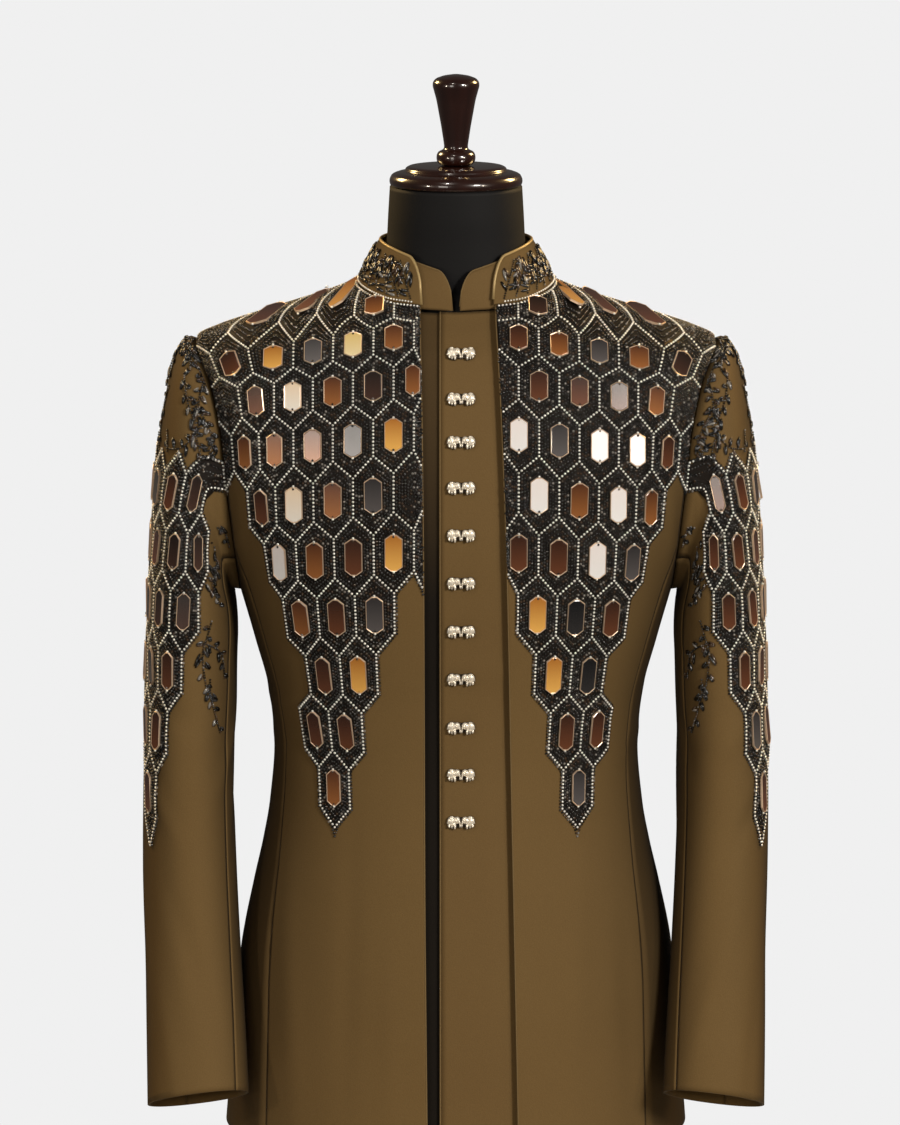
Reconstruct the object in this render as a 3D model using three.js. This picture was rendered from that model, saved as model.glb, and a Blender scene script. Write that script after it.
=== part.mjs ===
// Bandhgala suit: a long jacket worn open over a buttoned inner garment, on a limbless torso form.
// Millimetres, +Z up, origin under the centre of the base. The front faces -Y, the wearer's right is -X.
import * as THREE from "three";

const WALL_JACKET = 2.0;
const WALL_INNER = 1.5;
const INNER_DEPTH = 6.5;
const FORM_DEPTH = 14.6;
const SEAM = 0.3;
const HEM_Z = 210;
const INNER_HEM_Z = 213;

// Outside of the jacket as level rings: height, half width, front depth, back depth, roundness.
const TORSO = [
  { z: 210, a: 206, f: 138, b: 134, n: 2.2 },
  { z: 300, a: 198.5, f: 134, b: 130, n: 2.2 },
  { z: 372, a: 191.5, f: 129, b: 126, n: 2.2 },
  { z: 427, a: 180.5, f: 123, b: 121, n: 2.25 },
  { z: 464, a: 172, f: 118, b: 115, n: 2.25 },
  { z: 500, a: 165.5, f: 113, b: 109, n: 2.25 },
  { z: 555, a: 160.8, f: 109, b: 103, n: 2.25 },
  { z: 600, a: 164.5, f: 110, b: 103, n: 2.3 },
  { z: 650, a: 177, f: 115, b: 107, n: 2.35 },
  { z: 700, a: 191, f: 120, b: 112, n: 2.4 },
  { z: 750, a: 205, f: 123, b: 117, n: 2.5 },
  { z: 800, a: 215, f: 120, b: 121, n: 2.6 },
  { z: 850, a: 220, f: 112, b: 120, n: 2.6 },
  { z: 890, a: 224.5, f: 101, b: 113, n: 2.5 },
  { z: 908, a: 227, f: 94, b: 106, n: 2.4 },
  { z: 918, a: 223, f: 89, b: 100, n: 2.3 },
  { z: 925, a: 207, f: 84, b: 95, n: 2.25 },
  { z: 932, a: 187, f: 79, b: 89, n: 2.2 },
  { z: 946, a: 142, f: 68, b: 76, n: 2.2 },
  { z: 960, a: 100, f: 59, b: 62, n: 2.1 },
  { z: 970, a: 80, f: 54, b: 55, n: 2.0 },
  { z: 1000, a: 70, f: 52, b: 52, n: 2.0 },
];

// Armhole: an upright oval looked at from the side.
const ARM = { zc: 803, rz: 112, front: 62, back: 68, joinZ: 740 };
const ARM_INNER = { zc: 803, rz: 130, front: 70, back: 76 };

// Neck line of the jacket: way round from the middle of the front, height.
const NECK_FRONT = [
  { z: 0, high: 948.5 },
  { z: 30, high: 950 },
  { z: 56, high: 952 },
  { z: 76, high: 957 },
  { z: 96, high: 963 },
  { z: 116, high: 967 },
];
const NECK_BACK = [
  { z: 0, high: 973 },
  { z: 30, high: 973 },
  { z: 70, high: 970.5 },
  { z: 116, high: 967 },
];
const NECK_CORNER_Z = 967;

// Side panel seams: height, distance from the middle as seen from the front and from the back.
const SIDE_SEAM = [
  { z: 210, front: 168, back: 160 },
  { z: 300, front: 166, back: 158 },
  { z: 372, front: 164, back: 155 },
  { z: 464, front: 155, back: 144 },
  { z: 555, front: 149, back: 136 },
  { z: 600, front: 153, back: 141 },
  { z: 650, front: 165, back: 156 },
  { z: 700, front: 179, back: 174 },
];

// Front edges: height, wearer's right and left jacket edge, distance from the middle.
const FRONT_EDGE = [
  { z: 200, r: 24.5, l: 55 },
  { z: 480, r: 27, l: 49 },
  { z: 700, r: 27.5, l: 44 },
  { z: 860, r: 29, l: 38 },
  { z: 945, r: 31, l: 33 },
];

// Honeycomb of the fronts: middle height of each row near the edge, its fall towards the side,
// width of half a cell, and the columns that hold a mirror.
const HONEYCOMB = [
  { z: 951, fall: 0.17, half: 17.4, mirrors: [2, 4, 6, 8] },
  { z: 926, fall: 0.17, half: 17.4, mirrors: [1, 3, 5, 7, 9] },
  { z: 889, fall: 0.15, half: 17.4, mirrors: [0, 2, 4, 6, 8] },
  { z: 846, fall: 0.15, half: 17.4, mirrors: [1, 3, 5, 7, 9] },
  { z: 797, fall: 0.15, half: 17.4, mirrors: [2, 4, 6, 8] },
  { z: 745, fall: 0.13, half: 17.3, mirrors: [1, 3, 5, 7] },
  { z: 692, fall: 0.11, half: 17.0, mirrors: [2, 4, 6] },
  { z: 638, fall: 0.09, half: 16.2, mirrors: [3, 5] },
  { z: 584, fall: 0.03, half: 15.2, mirrors: [4, 6] },
  { z: 532, fall: 0.0, half: 14.4, mirrors: [5] },
];
const STRAIGHT = 0.66;
const FIRST_COLUMN = 36;
// The left front's edge lies further out, so its grid leaves out the first column. All columns keep
// at least this way from the edge.
const LEFT_OUT = { r: 0, l: 1 };
const LEAST_COLUMN = 5;
const FREE_COLUMN = 7;
const JOIN_ROW = 5;
const LAST_COLUMN = 11;
const MIRROR = { wide: 0.44, tall: 0.31, tip: 0.46, widest: 0.75, rise: 2.2 };

// Sleeve sections: outer point x z, inner point x z, half depth, middle y, pitch in degrees.
const SLEEVE = [
  { ox: 237, oz: 914, ix: 196, iz: 692.5, h: 66, y: 3, pitch: 0 },
  { ox: 247, oz: 894, ix: 196, iz: 690.5, h: 70, y: 4, pitch: 0 },
  { ox: 254.5, oz: 862, ix: 195.5, iz: 688.5, h: 73, y: 4, pitch: 0 },
  { ox: 259.5, oz: 830, ix: 195, iz: 686.5, h: 74.5, y: 4, pitch: 0 },
  { ox: 262.5, oz: 804, ix: 194.5, iz: 684.5, h: 75, y: 4, pitch: 0 },
  { ox: 265, oz: 770, ix: 194, iz: 681.5, h: 75, y: 4, pitch: 1 },
  { ox: 266, oz: 752, ix: 193.6, iz: 679, h: 75, y: 4, pitch: 1 },
  { ox: 268.3, oz: 718, ix: 193, iz: 673, h: 74.5, y: 3, pitch: 2 },
  { ox: 269.5, oz: 700, ix: 192.6, iz: 668, h: 74, y: 3, pitch: 2 },
  { ox: 271, oz: 666, ix: 192.3, iz: 650, h: 73, y: 2, pitch: 3 },
  { ox: 272, oz: 648, ix: 192.8, iz: 638, h: 72, y: 1, pitch: 4 },
  { ox: 273, oz: 614, ix: 193.6, iz: 611, h: 70, y: -2, pitch: 5 },
  { ox: 273.8, oz: 596, ix: 194.2, iz: 595, h: 69, y: -3, pitch: 5 },
  { ox: 275, oz: 562, ix: 195.6, iz: 562, h: 66.5, y: -7, pitch: 7 },
  { ox: 275.6, oz: 544, ix: 196, iz: 544, h: 65, y: -9, pitch: 8 },
  { ox: 276.2, oz: 510, ix: 196, iz: 510, h: 62.5, y: -14, pitch: 10 },
  { ox: 276.2, oz: 492, ix: 195.6, iz: 492, h: 61, y: -17, pitch: 11 },
  { ox: 275.6, oz: 440, ix: 193.5, iz: 440, h: 57, y: -29, pitch: 15 },
  { ox: 274, oz: 380, ix: 190, iz: 380, h: 53, y: -47, pitch: 19 },
  { ox: 272.4, oz: 314, ix: 185.5, iz: 318, h: 48.5, y: -71, pitch: 21 },
  { ox: 270.5, oz: 249, ix: 181.5, iz: 261, h: 45, y: -99, pitch: 22 },
];
const SLEEVE_AROUND = 22;
const SLEEVE_ROUND = 2.15;
// Rows of the sleeve's honeycomb: upper section line, and the columns that hold a mirror.
const SLEEVE_ROWS = [
  { line: 5, mirrors: [3, 5] },
  { line: 7, mirrors: [2, 4, 6] },
  { line: 9, mirrors: [3, 5] },
  { line: 11, mirrors: [2, 4] },
  { line: 13, mirrors: [3, 5] },
  { line: 15, mirrors: [4] },
];
const SLEEVE_SHIFT = 0.45;
// Mirrors on the sleeve are raised away from this upright line, less so to the front and back.
const SLEEVE_AXIS = { x: 234, y: -5, flat: 0.45 };
const SLEEVE_SEAMS = { front: 9, back: -4 };

// Stand collars over the neck line. Ends are shares of the way round from the middle of the back
// (0) over the sides (0.5) to the middle of the front (1).
const COLLARS = {
  jacket: {
    ends: [-0.86, 0.85], depth: 0, wall: 2, step: 0.058, lift: 1.5, inset: 1.2, round: 16,
    top: { a: 66.8, f: 57.5, b: 58.5, side: 1001, back: 1005, front: 978 },
  },
  inner_r: {
    ends: [-0.985, -0.003], depth: 6.5, wall: 1.5, step: 0.07, lift: 1, inset: 0, round: 14,
    top: { a: 64, f: 54.5, b: 55.7, side: 996, back: 999, front: 975 },
  },
  inner_l: {
    ends: [0.003, 0.985], depth: 6.5, wall: 1.5, step: 0.07, lift: 1, inset: 0, round: 14,
    top: { a: 64, f: 54.5, b: 55.7, side: 996, back: 999, front: 975 },
  },
};
// How late the collar's top line dips towards the front.
const COLLAR_DIP = 1.6;
const BUTTONS = { x: 4.3, wide: 24, tall: 12.4, shank: 0.45 };
const BUTTON_Z = [915, 877, 840.5, 801.5, 760.5, 718, 675, 632, 589, 547.5, 506.5];

function track(rows, key) {
  const slopes = rows.map((row, i) => {
    if (i === 0 || i === rows.length - 1) {
      const j = i === 0 ? 0 : i - 1;
      return (rows[j + 1][key] - rows[j][key]) / (rows[j + 1].z - rows[j].z);
    }
    const s0 = (row[key] - rows[i - 1][key]) / (row.z - rows[i - 1].z);
    const s1 = (rows[i + 1][key] - row[key]) / (rows[i + 1].z - row.z);
    return s0 * s1 <= 0 ? 0 : (2 * s0 * s1) / (s0 + s1);
  });
  return (z) => {
    const c = Math.min(Math.max(z, rows[0].z), rows[rows.length - 1].z);
    let i = rows.findIndex((row) => row.z > c) - 1;
    if (i < 0) i = rows.length - 2;
    const w = rows[i + 1].z - rows[i].z;
    const t = (c - rows[i].z) / w;
    const [p, q] = [rows[i][key], rows[i + 1][key]];
    return (
      p * (1 + 2 * t) * (1 - t) ** 2 + q * t * t * (3 - 2 * t) +
      w * slopes[i] * t * (1 - t) ** 2 + w * slopes[i + 1] * t * t * (t - 1)
    );
  };
}

const torso = Object.fromEntries(["a", "f", "b", "n"].map((key) => [key, track(TORSO, key)]));
const edgeAt = { r: track(FRONT_EDGE, "r"), l: track(FRONT_EDGE, "l") };

const depthAt = (z, back) => (back ? torso.b(z) : torso.f(z));

// Point of the level ring at height z whose y is this share of its depth (0 side, 1 middle).
function ringByY(z, y) {
  const d = depthAt(z, y > 0);
  const n = torso.n(z);
  return torso.a(z) * (1 - Math.min(1, Math.abs(y) / d) ** n) ** (1 / n);
}

function ringByX(z, x, back) {
  const n = torso.n(z);
  const y = depthAt(z, back) * (1 - Math.min(1, Math.abs(x) / torso.a(z)) ** n) ** (1 / n);
  return back ? y : -y;
}

// Way along the ring from the middle of the front or back, in small steps.
const RING_STEPS = 96;
function ringWalk(z, back) {
  const n = torso.n(z);
  const [a, d] = [torso.a(z), depthAt(z, back)];
  const points = [];
  let length = 0;
  for (let i = 0; i <= RING_STEPS; i += 1) {
    const t = (Math.PI / 2) * (i / RING_STEPS);
    const x = a * Math.sin(t) ** (2 / n);
    const y = d * Math.max(0, Math.cos(t)) ** (2 / n);
    if (i) length += Math.hypot(x - points[i - 1].x, y - points[i - 1].y);
    points.push({ x, y, length });
  }
  return points;
}

function ringByLength(z, length, back) {
  const points = ringWalk(z, back);
  const total = points[RING_STEPS].length;
  const l = Math.min(Math.max(length, 0), total);
  let i = points.findIndex((p) => p.length >= l);
  if (i < 1) i = 1;
  const [p, q] = [points[i - 1], points[i]];
  const t = (l - p.length) / Math.max(1e-9, q.length - p.length);
  const x = p.x + (q.x - p.x) * t;
  const y = p.y + (q.y - p.y) * t;
  return [x, back ? y : -y, z];
}

const quarter = (z, back) => ringWalk(z, back)[RING_STEPS].length;

function lengthOf(z, x, back) {
  const points = ringWalk(z, back);
  let i = points.findIndex((p) => p.x >= x);
  if (i < 0) return points[RING_STEPS].length;
  if (i < 1) i = 1;
  const [p, q] = [points[i - 1], points[i]];
  return p.length + ((q.length - p.length) * (x - p.x)) / Math.max(1e-9, q.x - p.x);
}

function lengthOfY(z, y, back) {
  const points = ringWalk(z, back);
  let i = points.findIndex((p) => p.y <= Math.abs(y) + 1e-9);
  if (i < 1) i = 1;
  const [p, q] = [points[i - 1], points[i]];
  return p.length + ((q.length - p.length) * (p.y - Math.abs(y))) / Math.max(1e-9, p.y - q.y);
}

// Outward direction of the torso surface at one of its points (wearer's left half, x > 0).
function outward([x, y, z]) {
  const level = (zz) => {
    const n = torso.n(zz);
    return (Math.abs(x) / torso.a(zz)) ** n + (Math.abs(y) / depthAt(zz, y > 0)) ** n;
  };
  const n = torso.n(z);
  const [a, d] = [torso.a(z), depthAt(z, y > 0)];
  const gx = (n * Math.max(1e-6, Math.abs(x) / a) ** (n - 1)) / a;
  const gy = ((n * (Math.abs(y) / d) ** (n - 1)) / d) * Math.sign(y);
  const gz = (level(z + 1.5) - level(z - 1.5)) / 3;
  const size = Math.hypot(gx, gy, gz);
  return [(gx / size) * (x < 0 ? -1 : 1), gy / size, gz / size];
}

const moved = (p, n, by) => [p[0] + n[0] * by, p[1] + n[1] * by, p[2] + n[2] * by];
const mix = (p, q, t) => p.map((v, i) => v + (q[i] - v) * t);

// Closed wall from a sheet of outer points, the same points moved in, and its rim.
class Wall {
  constructor() {
    this.points = [];
    this.faces = [];
  }
  add(p) {
    this.points.push(p);
    return this.points.length - 1;
  }
  face(a, b, c) {
    if (a !== b && b !== c && a !== c) this.faces.push([a, b, c]);
  }
  quad(a, b, c, d) {
    this.face(a, b, c);
    this.face(a, c, d);
  }
}

const steps = (n) => Array.from({ length: n + 1 }, (_, i) => i);

// A grid wall: outer[r][c] and inner[r][c]. Looked at from outside, r runs down and c to the left
// hand when turn is true. Cells may be taken over by raised mirrors.
function gridWall(outer, inner, { mirrors = [], split = () => false, wrap = false } = {}) {
  const wall = new Wall();
  const rows = outer.length;
  const cols = outer[0].length;
  const out = outer.map((row) => row.map((p) => wall.add(p)));
  const inn = inner.map((row) => row.map((p) => wall.add(p)));
  const taken = new Set(mirrors.flatMap((m) => m.cells.map(([r, c]) => `${r}/${c}`)));
  const halves = new Set(mirrors.flatMap((m) => m.halves.map((h) => h.join("/"))));
  const put = (g, r, c, flip, isOut) => {
    const [p, q, s, t] = [g[r][c], g[r][c + 1], g[r + 1][c + 1], g[r + 1][c]];
    const name = `${r}/${c}`;
    if (isOut && taken.has(name)) return;
    const other = split(r, c);
    const list = other ? [[p, q, t], [q, s, t]] : [[p, q, s], [p, s, t]];
    list.forEach((f, k) => {
      if (isOut && halves.has(`${name}/${k}`)) return;
      if (flip) wall.face(f[0], f[2], f[1]);
      else wall.face(...f);
    });
  };
  for (let r = 0; r < rows - 1; r += 1) {
    for (let c = 0; c < cols - 1; c += 1) {
      put(out, r, c, false, true);
      put(inn, r, c, true, false);
    }
  }
  for (const m of mirrors) {
    const ring = m.ring.map(([r, c]) => out[r][c]);
    const top = m.top.map((p) => wall.add(p));
    stitch(wall, ring, top, m.ringAngles, m.topAngles);
    for (let k = 1; k < top.length - 1; k += 1) wall.face(top[0], top[k], top[k + 1]);
  }
  const rim = (r0, c0, r1, c1) => wall.quad(out[r0][c0], inn[r0][c0], inn[r1][c1], out[r1][c1]);
  for (let c = 0; c < cols - 1; c += 1) {
    rim(0, c, 0, c + 1);
    rim(rows - 1, c + 1, rows - 1, c);
  }
  if (!wrap) {
    for (let r = 0; r < rows - 1; r += 1) {
      rim(r + 1, 0, r, 0);
      rim(r, cols - 1, r + 1, cols - 1);
    }
  }
  return wall;
}

// Joins a ring of points to the smaller ring inside it, both sorted by angle.
function stitch(wall, ring, top, ringAngles, topAngles) {
  let [i, j] = [0, 0];
  const [n, m] = [ring.length, top.length];
  while (i < n || j < m) {
    const nextRing = i < n ? ringAngles[(i + 1) % n] + (i + 1 >= n ? 2 * Math.PI : 0) : Infinity;
    const nextTop = j < m ? topAngles[(j + 1) % m] + (j + 1 >= m ? 2 * Math.PI : 0) : Infinity;
    if (nextRing <= nextTop) {
      wall.face(ring[i % n], ring[(i + 1) % n], top[j % m]);
      i += 1;
    } else {
      wall.face(ring[i % n], top[(j + 1) % m], top[j % m]);
      j += 1;
    }
  }
}

// Height and way round at the place where the armhole oval has this height.
function armPoint(z, arm, back) {
  const c = Math.min(1, Math.max(-1, (z - arm.zc) / arm.rz));
  const y = (back ? arm.back : arm.front) * Math.sqrt(1 - c * c);
  return { y, length: lengthOfY(z, y, back) };
}

const neckHigh = { front: track(NECK_FRONT, "high"), back: track(NECK_BACK, "high") };

// Height at which the level ring's quarter has this length: the shoulder ridge.
function ridgeHeight(length, back) {
  let [lo, hi] = [NECK_CORNER_Z - 60, NECK_CORNER_Z + 4];
  for (let i = 0; i < 40; i += 1) {
    const mid = (lo + hi) / 2;
    if (quarter(mid, back) - SEAM / 2 > length) lo = mid;
    else hi = mid;
  }
  return (lo + hi) / 2;
}

// Points of one column from its top point down to a lower point, at shares of the way.
function columnPart(top, low, back, shares) {
  const at = (t) => ringByLength(top.z + (low.z - top.z) * t, top.u + (low.u - top.u) * t, back);
  const count = 32;
  const path = steps(count).map((i) => at(Math.sin((Math.PI / 2) * (i / count)) ** 2));
  const way = [0];
  for (let i = 1; i <= count; i += 1) {
    way.push(way[i - 1] + Math.hypot(...path[i].map((v, k) => v - path[i - 1][k])));
  }
  return shares.map((share) => {
    const l = share * way[count];
    let i = way.findIndex((w) => w >= l);
    if (i < 1) i = 1;
    return mix(path[i - 1], path[i], (l - way[i - 1]) / (way[i] - way[i - 1]));
  });
}

const TOP_SHARES = [0, 0.24, 0.66, 1];
const LOWER_Z = [455, 410, 355, 300, 252, HEM_Z];

// Heights of the honeycomb's lines at a way round u: mid of the top row's band, then two a row.
function honeycombLine(k, lower, u) {
  const row = HONEYCOMB[k];
  const gap = k < HONEYCOMB.length - 1 ? row.z - HONEYCOMB[k + 1].z : 50;
  const above = k > 0 ? HONEYCOMB[k - 1].z - row.z : gap;
  const fall = row.fall * (u - 60);
  return lower ? row.z - fall - (gap * STRAIGHT) / 2 : row.z - fall + (above * STRAIGHT) / 2;
}

const halfCell = track([...HONEYCOMB].reverse().map((r) => ({ z: r.z, half: r.half })), "half");

function sideSeam(arm) {
  const at = {};
  for (const side of ["front", "back"]) {
    const back = side === "back";
    const y = armPoint(arm.joinZ, arm, back).y;
    const rows = SIDE_SEAM.filter((r) => r.z < arm.joinZ - 20);
    const x = ringByY(arm.joinZ, back ? y : -y);
    at[side] = track([...rows.map((r) => ({ z: r.z, x: r[side] })), { z: arm.joinZ, x }], "x");
  }
  return at;
}
const seams = sideSeam(ARM);

// Way round of the front or back panel's outer edge: the armhole, and the side seam below it.
function outerEdge(z, back) {
  if (z >= ARM.joinZ) return armPoint(z, ARM, back).length - SEAM / 2;
  return lengthOf(z, seams[back ? "back" : "front"](z), back) - SEAM / 2;
}

function frontGrid(side) {
  const last = LAST_COLUMN + 1;
  const column = (c, z) => {
    const edge = lengthOf(z, edgeAt[side](z), false);
    if (c === 0) return edge;
    const end = outerEdge(z, false);
    if (c === last) return end;
    const free = FIRST_COLUMN + halfCell(z) * FREE_COLUMN;
    if (c - 1 <= FREE_COLUMN) {
      const least = edge + LEAST_COLUMN * (c - LEFT_OUT[side]);
      return Math.max(least, FIRST_COLUMN + halfCell(z) * (c - 1));
    }
    return free + ((end - free) * (c - 1 - FREE_COLUMN)) / (LAST_COLUMN - FREE_COLUMN);
  };
  const lines = [];
  HONEYCOMB.forEach((row, k) => {
    if (k) lines.push([k, false]);
    if (k) lines.push([k, true]);
  });
  const grid = steps(3 + 2 * (HONEYCOMB.length - 1) + 1 + LOWER_Z.length - 1).map(() => []);
  const columns = steps(last).filter((c) => c === 0 || c > LEFT_OUT[side]);
  for (const c of columns) {
    const solve = (height) => {
      let z = height(60);
      for (let i = 0; i < 12; i += 1) z = height(column(c, z));
      return z;
    };
    const lowZ = solve((u) => honeycombLine(1, false, u));
    let top;
    const apex = ARM.zc + ARM.rz - 0.02;
    if (c === last) top = { z: apex, u: quarter(apex, false) - SEAM / 2 };
    else if (c === 5) top = { z: NECK_CORNER_Z, u: quarter(NECK_CORNER_Z, false) - SEAM / 2 };
    else if (c < 5) {
      const z = neckHigh.front(column(c, 940));
      top = { z, u: column(c, z) };
    } else {
      const free = column(c, 917);
      top = { z: ridgeHeight(free, false), u: free };
      top.u = quarter(top.z, false) - SEAM / 2;
    }
    if (c === last) {
      TOP_SHARES.forEach((share, r) => {
        const turn = Math.acos((lowZ - ARM.zc) / ARM.rz);
        const z = ARM.zc + ARM.rz * Math.cos(turn * share) - 0.02;
        const u = share ? outerEdge(z, false) : top.u;
        grid[r].push(ringByLength(share ? z : top.z, u, false));
      });
    } else {
      columnPart(top, { z: lowZ, u: column(c, lowZ) }, false, TOP_SHARES).forEach((p, r) => grid[r].push(p));
    }
    let r = TOP_SHARES.length;
    for (const [k, lower] of lines.slice(1)) {
      const corner = c === last && k === JOIN_ROW && !lower;
      const z = corner ? ARM.joinZ : solve((u) => honeycombLine(k, lower, u));
      grid[r].push(ringByLength(z, column(c, z), false));
      r += 1;
    }
    const tipZ = HONEYCOMB[HONEYCOMB.length - 1].z - 34;
    for (const z of [tipZ, ...LOWER_Z]) {
      grid[r].push(ringByLength(z, column(c, z), false));
      r += 1;
    }
  }
  return grid.filter((row) => row.length);
}

// Raised mirror in the cell round column c between two lines; three lines in the top row.
function mirrorCell(outer, top, bottom, c, raise, first) {
  const ring = first
    ? [[0, c], [0, c + 1], [1, c + 1], [2, c + 1], [3, c], [2, c - 1], [1, c - 1], [0, c - 1]]
    : [[top - 1, c], [top, c + 1], [bottom, c + 1], [bottom + 1, c], [bottom, c - 1], [top, c - 1]];
  const cells = first ? [[0, c - 1], [0, c], [1, c - 1], [1, c]] : [[top, c - 1], [top, c]];
  const halves = [[bottom, c - 1, 0], [bottom, c, 0]];
  if (!first) halves.push([top - 1, c - 1, 1], [top - 1, c, 1]);
  const at = (dc, share) => {
    const side = dc < 0 ? c - 1 : c + 1;
    const w = Math.abs(dc);
    let [r0, r1, t] = [top, bottom, share];
    if (first) {
      const cut = TOP_SHARES[1] / TOP_SHARES[2];
      [r0, r1, t] = share < cut ? [0, 1, share / cut] : [1, 2, (share - cut) / (1 - cut)];
    }
    const p = mix(outer[r0][c], outer[r0][side], w);
    const q = mix(outer[r1][c], outer[r1][side], w);
    const place = mix(p, q, t);
    return moved(place, raise(place), MIRROR.rise);
  };
  const apart = (k) => Math.hypot(...outer[top][c].map((v, i) => v - outer[top][k][i]));
  const left = -Math.min(MIRROR.widest, (MIRROR.wide * apart(c + 1)) / apart(c - 1));
  const [s, e] = [MIRROR.tall, MIRROR.tip];
  const shape = [
    [0, 0.5 - e], [MIRROR.wide, 0.5 - s], [MIRROR.wide, 0.5 + s],
    [0, 0.5 + e], [left, 0.5 + s], [left, 0.5 - s],
  ];
  const turn = [-90, -40, 40, 90, 140, 220].map((d) => (d * Math.PI) / 180);
  const ringTurn = first
    ? [-90, -60, -10, 40, 90, 140, 190, 240].map((d) => (d * Math.PI) / 180)
    : turn;
  return {
    ring, cells, halves, top: shape.map(([dc, share]) => at(dc, share)),
    ringAngles: ringTurn, topAngles: turn,
  };
}

function frontPanel(side) {
  const outer = frontGrid(side);
  const shift = LEFT_OUT[side];
  const inner = outer.map((row) => row.map((p) => moved(p, outward(p), -WALL_JACKET)));
  const mirrors = HONEYCOMB.flatMap((row, k) =>
    row.mirrors.filter((i) => i >= shift).map((i) =>
      mirrorCell(outer, 1 + 2 * k, 2 + 2 * k, i + 1 - shift, outward, k === 0)));
  const split = (r, c) => {
    if (r < 2 || r > 2 * HONEYCOMB.length || r % 2) return false;
    const k = r / 2 - 1;
    return (c - 1 + shift - HONEYCOMB[k].mirrors[0]) % 2 === 0;
  };
  return gridWall(outer, inner, { mirrors, split });
}

// Back: shares of the way to the armhole, and the top points along neck line and shoulder.
const BACK_COLUMNS = [
  { share: 0, neck: 0.0 },
  { share: 0.14, neck: 30 },
  { share: 0.28, neck: 70 },
  { share: 0.42, corner: true },
  { share: 0.56, ridge: 148 },
  { share: 0.7, ridge: 182 },
  { share: 0.85, ridge: 220 },
  { share: 1 },
];
const BACK_SHARES = [0, 0.14, 0.34, 0.62, 1];
const BACK_TOP_Z = 896;
const BACK_Z = [866, 834, 800, 768, ARM.joinZ, 672, 640, 600, 555, 498, ...LOWER_Z];

function backPanel() {
  const grid = steps(BACK_SHARES.length + BACK_Z.length - 1).map(() => []);
  const apex = ARM.zc + ARM.rz - 0.02;
  for (const col of BACK_COLUMNS) {
    const along = (z) => SEAM / 2 + (outerEdge(z, true) - SEAM / 2) * col.share;
    const low = { z: BACK_TOP_Z, u: along(BACK_TOP_Z) };
    let top;
    if (col.neck !== undefined) top = { z: neckHigh.back(col.neck), u: Math.max(SEAM / 2, col.neck) };
    else if (col.corner) top = { z: NECK_CORNER_Z, u: quarter(NECK_CORNER_Z, true) - SEAM / 2 };
    else if (col.ridge) {
      const z = ridgeHeight(col.ridge, true);
      top = { z, u: quarter(z, true) - SEAM / 2 };
    }
    if (top) columnPart(top, low, true, BACK_SHARES).forEach((p, r) => grid[r].push(p));
    else {
      BACK_SHARES.forEach((share, r) => {
        const a1 = Math.acos((BACK_TOP_Z - ARM.zc) / ARM.rz);
        const z = ARM.zc + ARM.rz * Math.cos(a1 * share) - 0.02;
        const u = share ? outerEdge(z, true) : quarter(apex, true) - SEAM / 2;
        grid[r].push(ringByLength(z, u, true));
      });
    }
    BACK_Z.forEach((z, i) => grid[BACK_SHARES.length + i].push(ringByLength(z, along(z), true)));
  }
  const inner = grid.map((row) => row.map((p) => moved(p, outward(p), -WALL_JACKET)));
  return gridWall(grid, inner);
}

const SIDE_COLUMNS = 5;
const SIDE_Z = [672, 640, 600, 555, 498, ...LOWER_Z];

function sidePanel() {
  const reach = (z, back) => Math.abs(ringByX(z, seams[back ? "back" : "front"](z), back)) - SEAM / 2;
  const rows = [0, ...SIDE_Z].map((z, r) => steps(SIDE_COLUMNS).map((c) => {
    const t = c / SIDE_COLUMNS;
    if (r === 0) {
      const [y0, y1] = [-reach(ARM.joinZ, false), reach(ARM.joinZ, true)];
      const y = y0 + (y1 - y0) * t;
      const wide = y < 0 ? ARM.front : ARM.back;
      const high = ARM.zc - ARM.rz * Math.sqrt(1 - (y / wide) ** 2);
      return [ringByY(high, y), y, high];
    }
    const y = -reach(z, false) + (reach(z, false) + reach(z, true)) * t;
    return [ringByY(z, y), y, z];
  }));
  const inner = rows.map((row) => row.map((p) => moved(p, outward(p), -WALL_JACKET)));
  return gridWall(rows, inner);
}

// Sleeve section as a rounded oval; way round starts at the outside and goes to the front.
function sectionPoint(row, angle, inset) {
  const mid = [(row.ox + row.ix) / 2, row.y, (row.oz + row.iz) / 2];
  const across = [row.ox - row.ix, 0, row.oz - row.iz];
  const wide = Math.hypot(...across) / 2;
  const e = 2 / SLEEVE_ROUND;
  const [c, s] = [Math.cos(angle), Math.sin(angle)];
  const u = ((wide - inset) * Math.sign(c) * Math.abs(c) ** e) / (2 * wide);
  const v = (row.h - inset) * Math.sign(s) * Math.abs(s) ** e;
  const pitch = (row.pitch * Math.PI) / 180;
  return [mid[0] + across[0] * u, mid[1] - v * Math.cos(pitch), mid[2] + across[2] * u + v * Math.sin(pitch)];
}

const ARM_GAP = 0.9;
function armholePoint(angle, inset) {
  const wide = (Math.sin(angle) > 0 ? ARM.front : ARM.back) - ARM_GAP;
  const y = -wide * Math.sin(angle);
  const z = ARM.zc + (ARM.rz - ARM_GAP) * Math.cos(angle);
  const p = [ringByY(z, y) + 0.5, y, z];
  const size = Math.hypot(y, p[2] - ARM.zc);
  return [p[0], p[1] * (1 - inset / size), p[2] - (inset * (p[2] - ARM.zc)) / size];
}

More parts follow.
